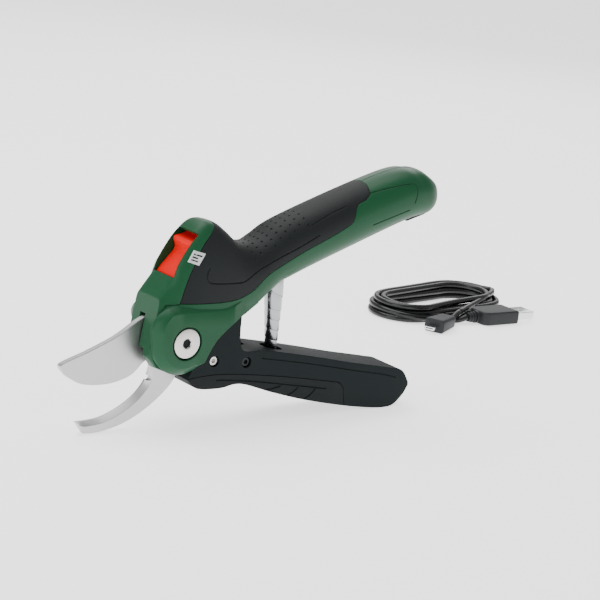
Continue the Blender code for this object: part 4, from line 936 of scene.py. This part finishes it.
tangScrews = [(19.2, -14.8), (38.0, -19.5)]


def addUpperBlade():
    side = degrees(pinTurn)
    hub = bladeSet["hub"]
    arm = arc((0, 0), hub, side + 50, side + 50, 1)[:1] + arc(pinPlace, bladeSet["pinBoss"], side + 90, side - 90, 20)
    tang = [(22.0, -9.8), (44.5, -16.5), (44.0, -23.5), (19.0, -18.6), (9.0, -10.5)]
    root = arm + arc((0, 0), hub, side - 20, -5, 10) + tang + arc((0, 0), hub, -95, -130, 8)
    outline = upperEdge + upperSpine + root
    edgeCount, spineCount = len(upperEdge), len(upperSpine)
    ground = [bladeSet["grind"] * (0.25 + 0.75 * min(1, i / 8)) for i in range(edgeCount)]
    ground = [g * (0.35 + 0.65 * min(1, (edgeCount - 1 - i) / 6)) for i, g in enumerate(ground)]
    spine = [0.45] * spineCount + [0.0] * len(root)
    soft = [0.0] * edgeCount + spine
    sheets = [(bladeNear, soft), (bladeNear + 0.45, [0.0] * len(outline)),
              (bladeFar - 0.45, [g * 0.86 for g in ground] + [0.0] * (spineCount + len(root))),
              (bladeFar, ground + spine)]
    bm = layered(outline, sheets)
    steps = [("DIFFERENCE", crossDisc(5.6, (0, 0), -8, 5, 48)), ("DIFFERENCE", crossDisc(2.1, pinPlace, -8, 5, 24))]
    for centre in tangScrews:
        steps.append(("DIFFERENCE", crossDisc(1.6, centre, -8, 5, 20)))
    addPiece("curved_blade", carve(bm, steps), "bladeSteel", "lever", ["upper_blade"], sharp=22)


def addHookBlade():
    back = [(12.0, -4.0), (15.5, 4.5), (13.4, 9.6), (6.0, 9.2), (-3.0, 8.4)]
    outline = hookOuter + back + hookInner
    low, high = -bladeNear - bladeSet["hookThickness"], -bladeNear
    outerCount, innerCount = len(hookOuter), len(hookInner)
    bevel = []
    for i in range(innerCount):                          # the ground band starts at a notch near the root
        share = (i - 9) / 3
        bevel.append(bladeSet["hookBevel"] * max(0.0, min(1.0, share)) * min(1.0, 0.3 + (innerCount - 1 - i) / 5))
    rim = [0.5] * outerCount + [0.0] * len(back)
    square = [0.0] * len(rim)
    sheets = [(low, rim + [max(0.35, b) for b in bevel]), (low + 0.5, square + [b * 0.8 for b in bevel]),
              (high - 1.1, square + [0.0] * innerCount), (high, rim + [0.0] * innerCount)]
    bm = layered(outline, sheets)
    notch = arc((-13.0, -18.4), 1.25, 0, 330, 11)
    steps = [("DIFFERENCE", crossDisc(4.15, (0, 0), -8, 8, 48)),
             ("DIFFERENCE", crossDisc(1.75, (11.0, 5.4), -8, 8, 20)),
             ("DIFFERENCE", prism(notch, low - 1, high + 1))]
    addPiece("hooked_blade", carve(bm, steps), "bladeSteel", "housing", ["hook_blade"], sharp=22)


addUpperBlade()
addHookBlade()
print("blades")


# lever
lever = {"halfWidth": 11.2, "soften": 3.2, "padDepth": 3.4, "channelHalf": 9.2, "screwHead": 2.6, "screwShank": 1.4}
leverTop = softLine([(35.6, 6.2), (35.4, -12.0), (49.4, -15.9), (78.0, -25.4), (103.2, -34.4), (126.5, -42.2),
                     (135.4, -45.8), (139.4, -53.0)], 6)
leverLow = softLine([(139.4, -54.6), (134.5, -60.0), (125.5, -63.4), (103.4, -58.0), (74.3, -47.7), (53.4, -38.7),
                     (34.3, -29.8), (22.1, -29.2), (9.0, -26.4), (3.4, -20.6)], 6)
leverLine = leverTop + leverLow + [(8.0, -13.5), (16.0, -6.0), (27.0, 3.6)]
padTop = softLine([(1.0, -20.6), (12.0, -20.9), (28.3, -23.4), (58.1, -31.4), (80.0, -38.3), (93.0, -42.4)], 4)
padTop += [(95.4, -43.9), (97.0, -46.6)]
padZone = padTop + [(98.0, -80.0), (1.0, -80.0)]
padCore = [(10.0, -10.0), (100.0, -30.0), (100.0, -54.2), (88.0, -49.3), (74.3, -44.1), (53.4, -35.2), (34.3, -26.3),
           (22.1, -25.6), (10.0, -24.4)]


def leverForm(shrink=0.0):
    half = lever["halfWidth"] - shrink
    bm = prism([tuple(p) for p in offsetLine(leverLine, shrink)], -half, half)

    def inHand(edge):                                    # the web that runs up between the cheeks stays square
        top = max(v.co.z for v in edge.verts)
        return rimEdge(edge) and (top < -19.0 or (top < -10.0 and min(v.co.x for v in edge.verts) > 38.5))
    return rounded(bm, lever["soften"], 6, inHand)


def flatGroove(points, side, radius, steps=5):
    face = side * (lever["halfWidth"] - 0.05)
    return sweep([Vector((p[0], face, p[1])) for p in softLine(points, steps)], radius, 3)


def addLever():
    reach = lever["halfWidth"] - lever["padDepth"]
    room = carve(prism([tuple(p) for p in offsetLine(padZone, -gap)], -wide, wide),
                 [("DIFFERENCE", prism(padCore, -reach, reach))])
    channel = [(0.0, 10.0), (0.0, -16.0), (14.0, -12.0), (28.0, -11.2), (36.0, -13.0), (44.0, -8.0), (44.0, 10.0)]
    slot = [(0.0, -8.0), (0.0, -40.0), (19.0, -19.4), (44.6, -24.2), (45.2, -8.0)]
    steps = [("DIFFERENCE", room),
             ("DIFFERENCE", prism(channel, -lever["channelHalf"], lever["channelHalf"])),
             ("DIFFERENCE", prism(slot, bladeNear - gap, bladeFar + gap)),
             ("DIFFERENCE", moved(disc(5.7, 0, 9.0), springPlace))]
    for centre in tangScrews:
        steps.append(("DIFFERENCE", crossDisc(1.6, centre, -9.3, wide, 24)))
        steps.append(("DIFFERENCE", crossDisc(lever["screwHead"] + 0.12, centre, -wide, -7.4, 40)))
    ridge = [(47.0, -19.3), (60.0, -23.4), (78.0, -29.3), (103.0, -38.2), (124.0, -45.4), (131.0, -48.6)]
    for side in (-1, 1):
        steps.append(("DIFFERENCE", flatGroove(ridge, side, 0.30)))
    addPiece("squeeze_lever", carve(leverForm(), steps), "leverPlastic", "lever", ["lever"],
             sharp=28)
    inside = lever["halfWidth"] - lever["padDepth"] + gap
    steps = [("INTERSECT", prism(padZone, -wide, wide)),
             ("DIFFERENCE", prism([tuple(p) for p in offsetLine(padCore, -gap)], -inside, inside))]
    band = [(20.0, -24.3), (39.0, -29.2), (63.5, -36.8), (86.3, -44.2)]
    ribs = [[(58.3, -36.2), (52.0, -36.4), (46.5, -35.6)], [(69.0, -39.5), (65.0, -41.4), (60.8, -42.3)],
            [(79.6, -42.7), (76.4, -45.0), (72.6, -46.4)]]
    for side in (-1, 1):
        for line in [band] + ribs:
            steps.append(("DIFFERENCE", flatGroove(line, side, 0.42)))
    addPiece("lever_insert", carve(leverForm(), steps), "insertRubber", "lever", ["lever_pad"],
             sharp=28)
    for number, centre in enumerate(tangScrews, 1):
        high = 10.2
        shape = turned([(0, -8.0), (lever["screwShank"], -8.0), (lever["screwShank"], 7.7), (lever["screwHead"], 7.7),
                        (lever["screwHead"], high - 0.5), (lever["screwHead"] - 0.5, high), (0, high)], 40)
        shape = carve(shape, [("DIFFERENCE", disc(1.25, high - 1.3, high + 1, 6))])
        place = toolPlace @ Matrix.Translation((centre[0], 0, centre[1])) @ across
        look = "boltSteel" if number == 1 else "blackSteel"
        addPiece(f"tang_screw_{number}", shape, look, "lever", [f"lever_screw_{number}"], place, 25)


addLever()
print("lever")


# return spring: a strip wound into a cone of overlapping turns
spring = {"length": 40.0, "topRadius": 4.75, "footRadius": 3.0, "strip": 11.5,
          "thickness": 0.26, "turns": 5.4, "perTurn": 44}


def addSpring():
    count = int(spring["turns"] * spring["perTurn"])
    rings = []
    for i in range(count + 1):
        share = i / count
        turn = 2 * pi * i / spring["perTurn"] + radians(200)
        radius = spring["topRadius"] + (spring["footRadius"] - spring["topRadius"]) * share
        height = spring["strip"] * min(1.0, 0.62 + 4.0 * min(share, 1 - share))
        middle = spring["length"] - 0.3 - spring["strip"] / 2 - (spring["length"] - 0.6 - spring["strip"]) * share
        low, high = middle - spring["strip"] / 2, middle + spring["strip"] / 2
        if share < 0.5:                                  # the ends of the strip are ground flat
            low = high - height
        else:
            high = low + height
        inner = radius - spring["thickness"]
        section = [(radius - 0.16, low), (radius, low + 0.4), (radius, high - 0.4), (radius - 0.16, high),
                   (inner, high), (inner, low)]
        rings.append([Vector((r * cos(turn), r * sin(turn), z)) for r, z in section])
    place = toolPlace @ springPlace
    obj = addPiece("volute_spring", loft(rings), "springSteel", "housing", ["return_spring"],
                   place, 40)
    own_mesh(obj)


addSpring()
print("spring")


# cover of the charging socket
flap = {"length": 12.0, "width": 9.2, "depth": 2.4, "soften": 0.8}


def addPortCover():
    bm = box((flap["depth"], flap["width"], flap["length"]), (0.4, 0, 0))
    rounded(bm, flap["soften"], 5, lambda e: all(v.co.x < 0 for v in e.verts))
    steps = [("UNION", rounded(box((1.0, 6.0, 1.0), (-0.9, 0, 4.2)), 0.3, 3))]
    addPiece("socket_cover", carve(bm, steps), "insertRubber", "port_cover", ["port_cover"],
             toolPlace @ portPlace)


addPortCover()

# the pieces inside keep their CAD meshes and get their finishes
slotFinish = {"green_shell": "greenShell", "soft_grip": "softGrip", "red_slider": "redSlider",
              "black_plastic": "leverPlastic", "blade_steel": "bladeSteel", "bolt_steel": "boltSteel",
              "spring_steel": "springSteel", "plated_steel": "platedSteel", "brass": "turnedBrass",
              "gear_nylon": "gearNylon", "cell_wrap": "cellWrap", "board_green": "boardGreen",
              "cable_black": "cableJacket", "plug_black": "plugPlastic"}
for node in nodes.values():
    for spot in node.material_slots:
        spot.material = finish(slotFinish[spot.material.name.split(".")[0]])
print("pieces inside")


print("done")
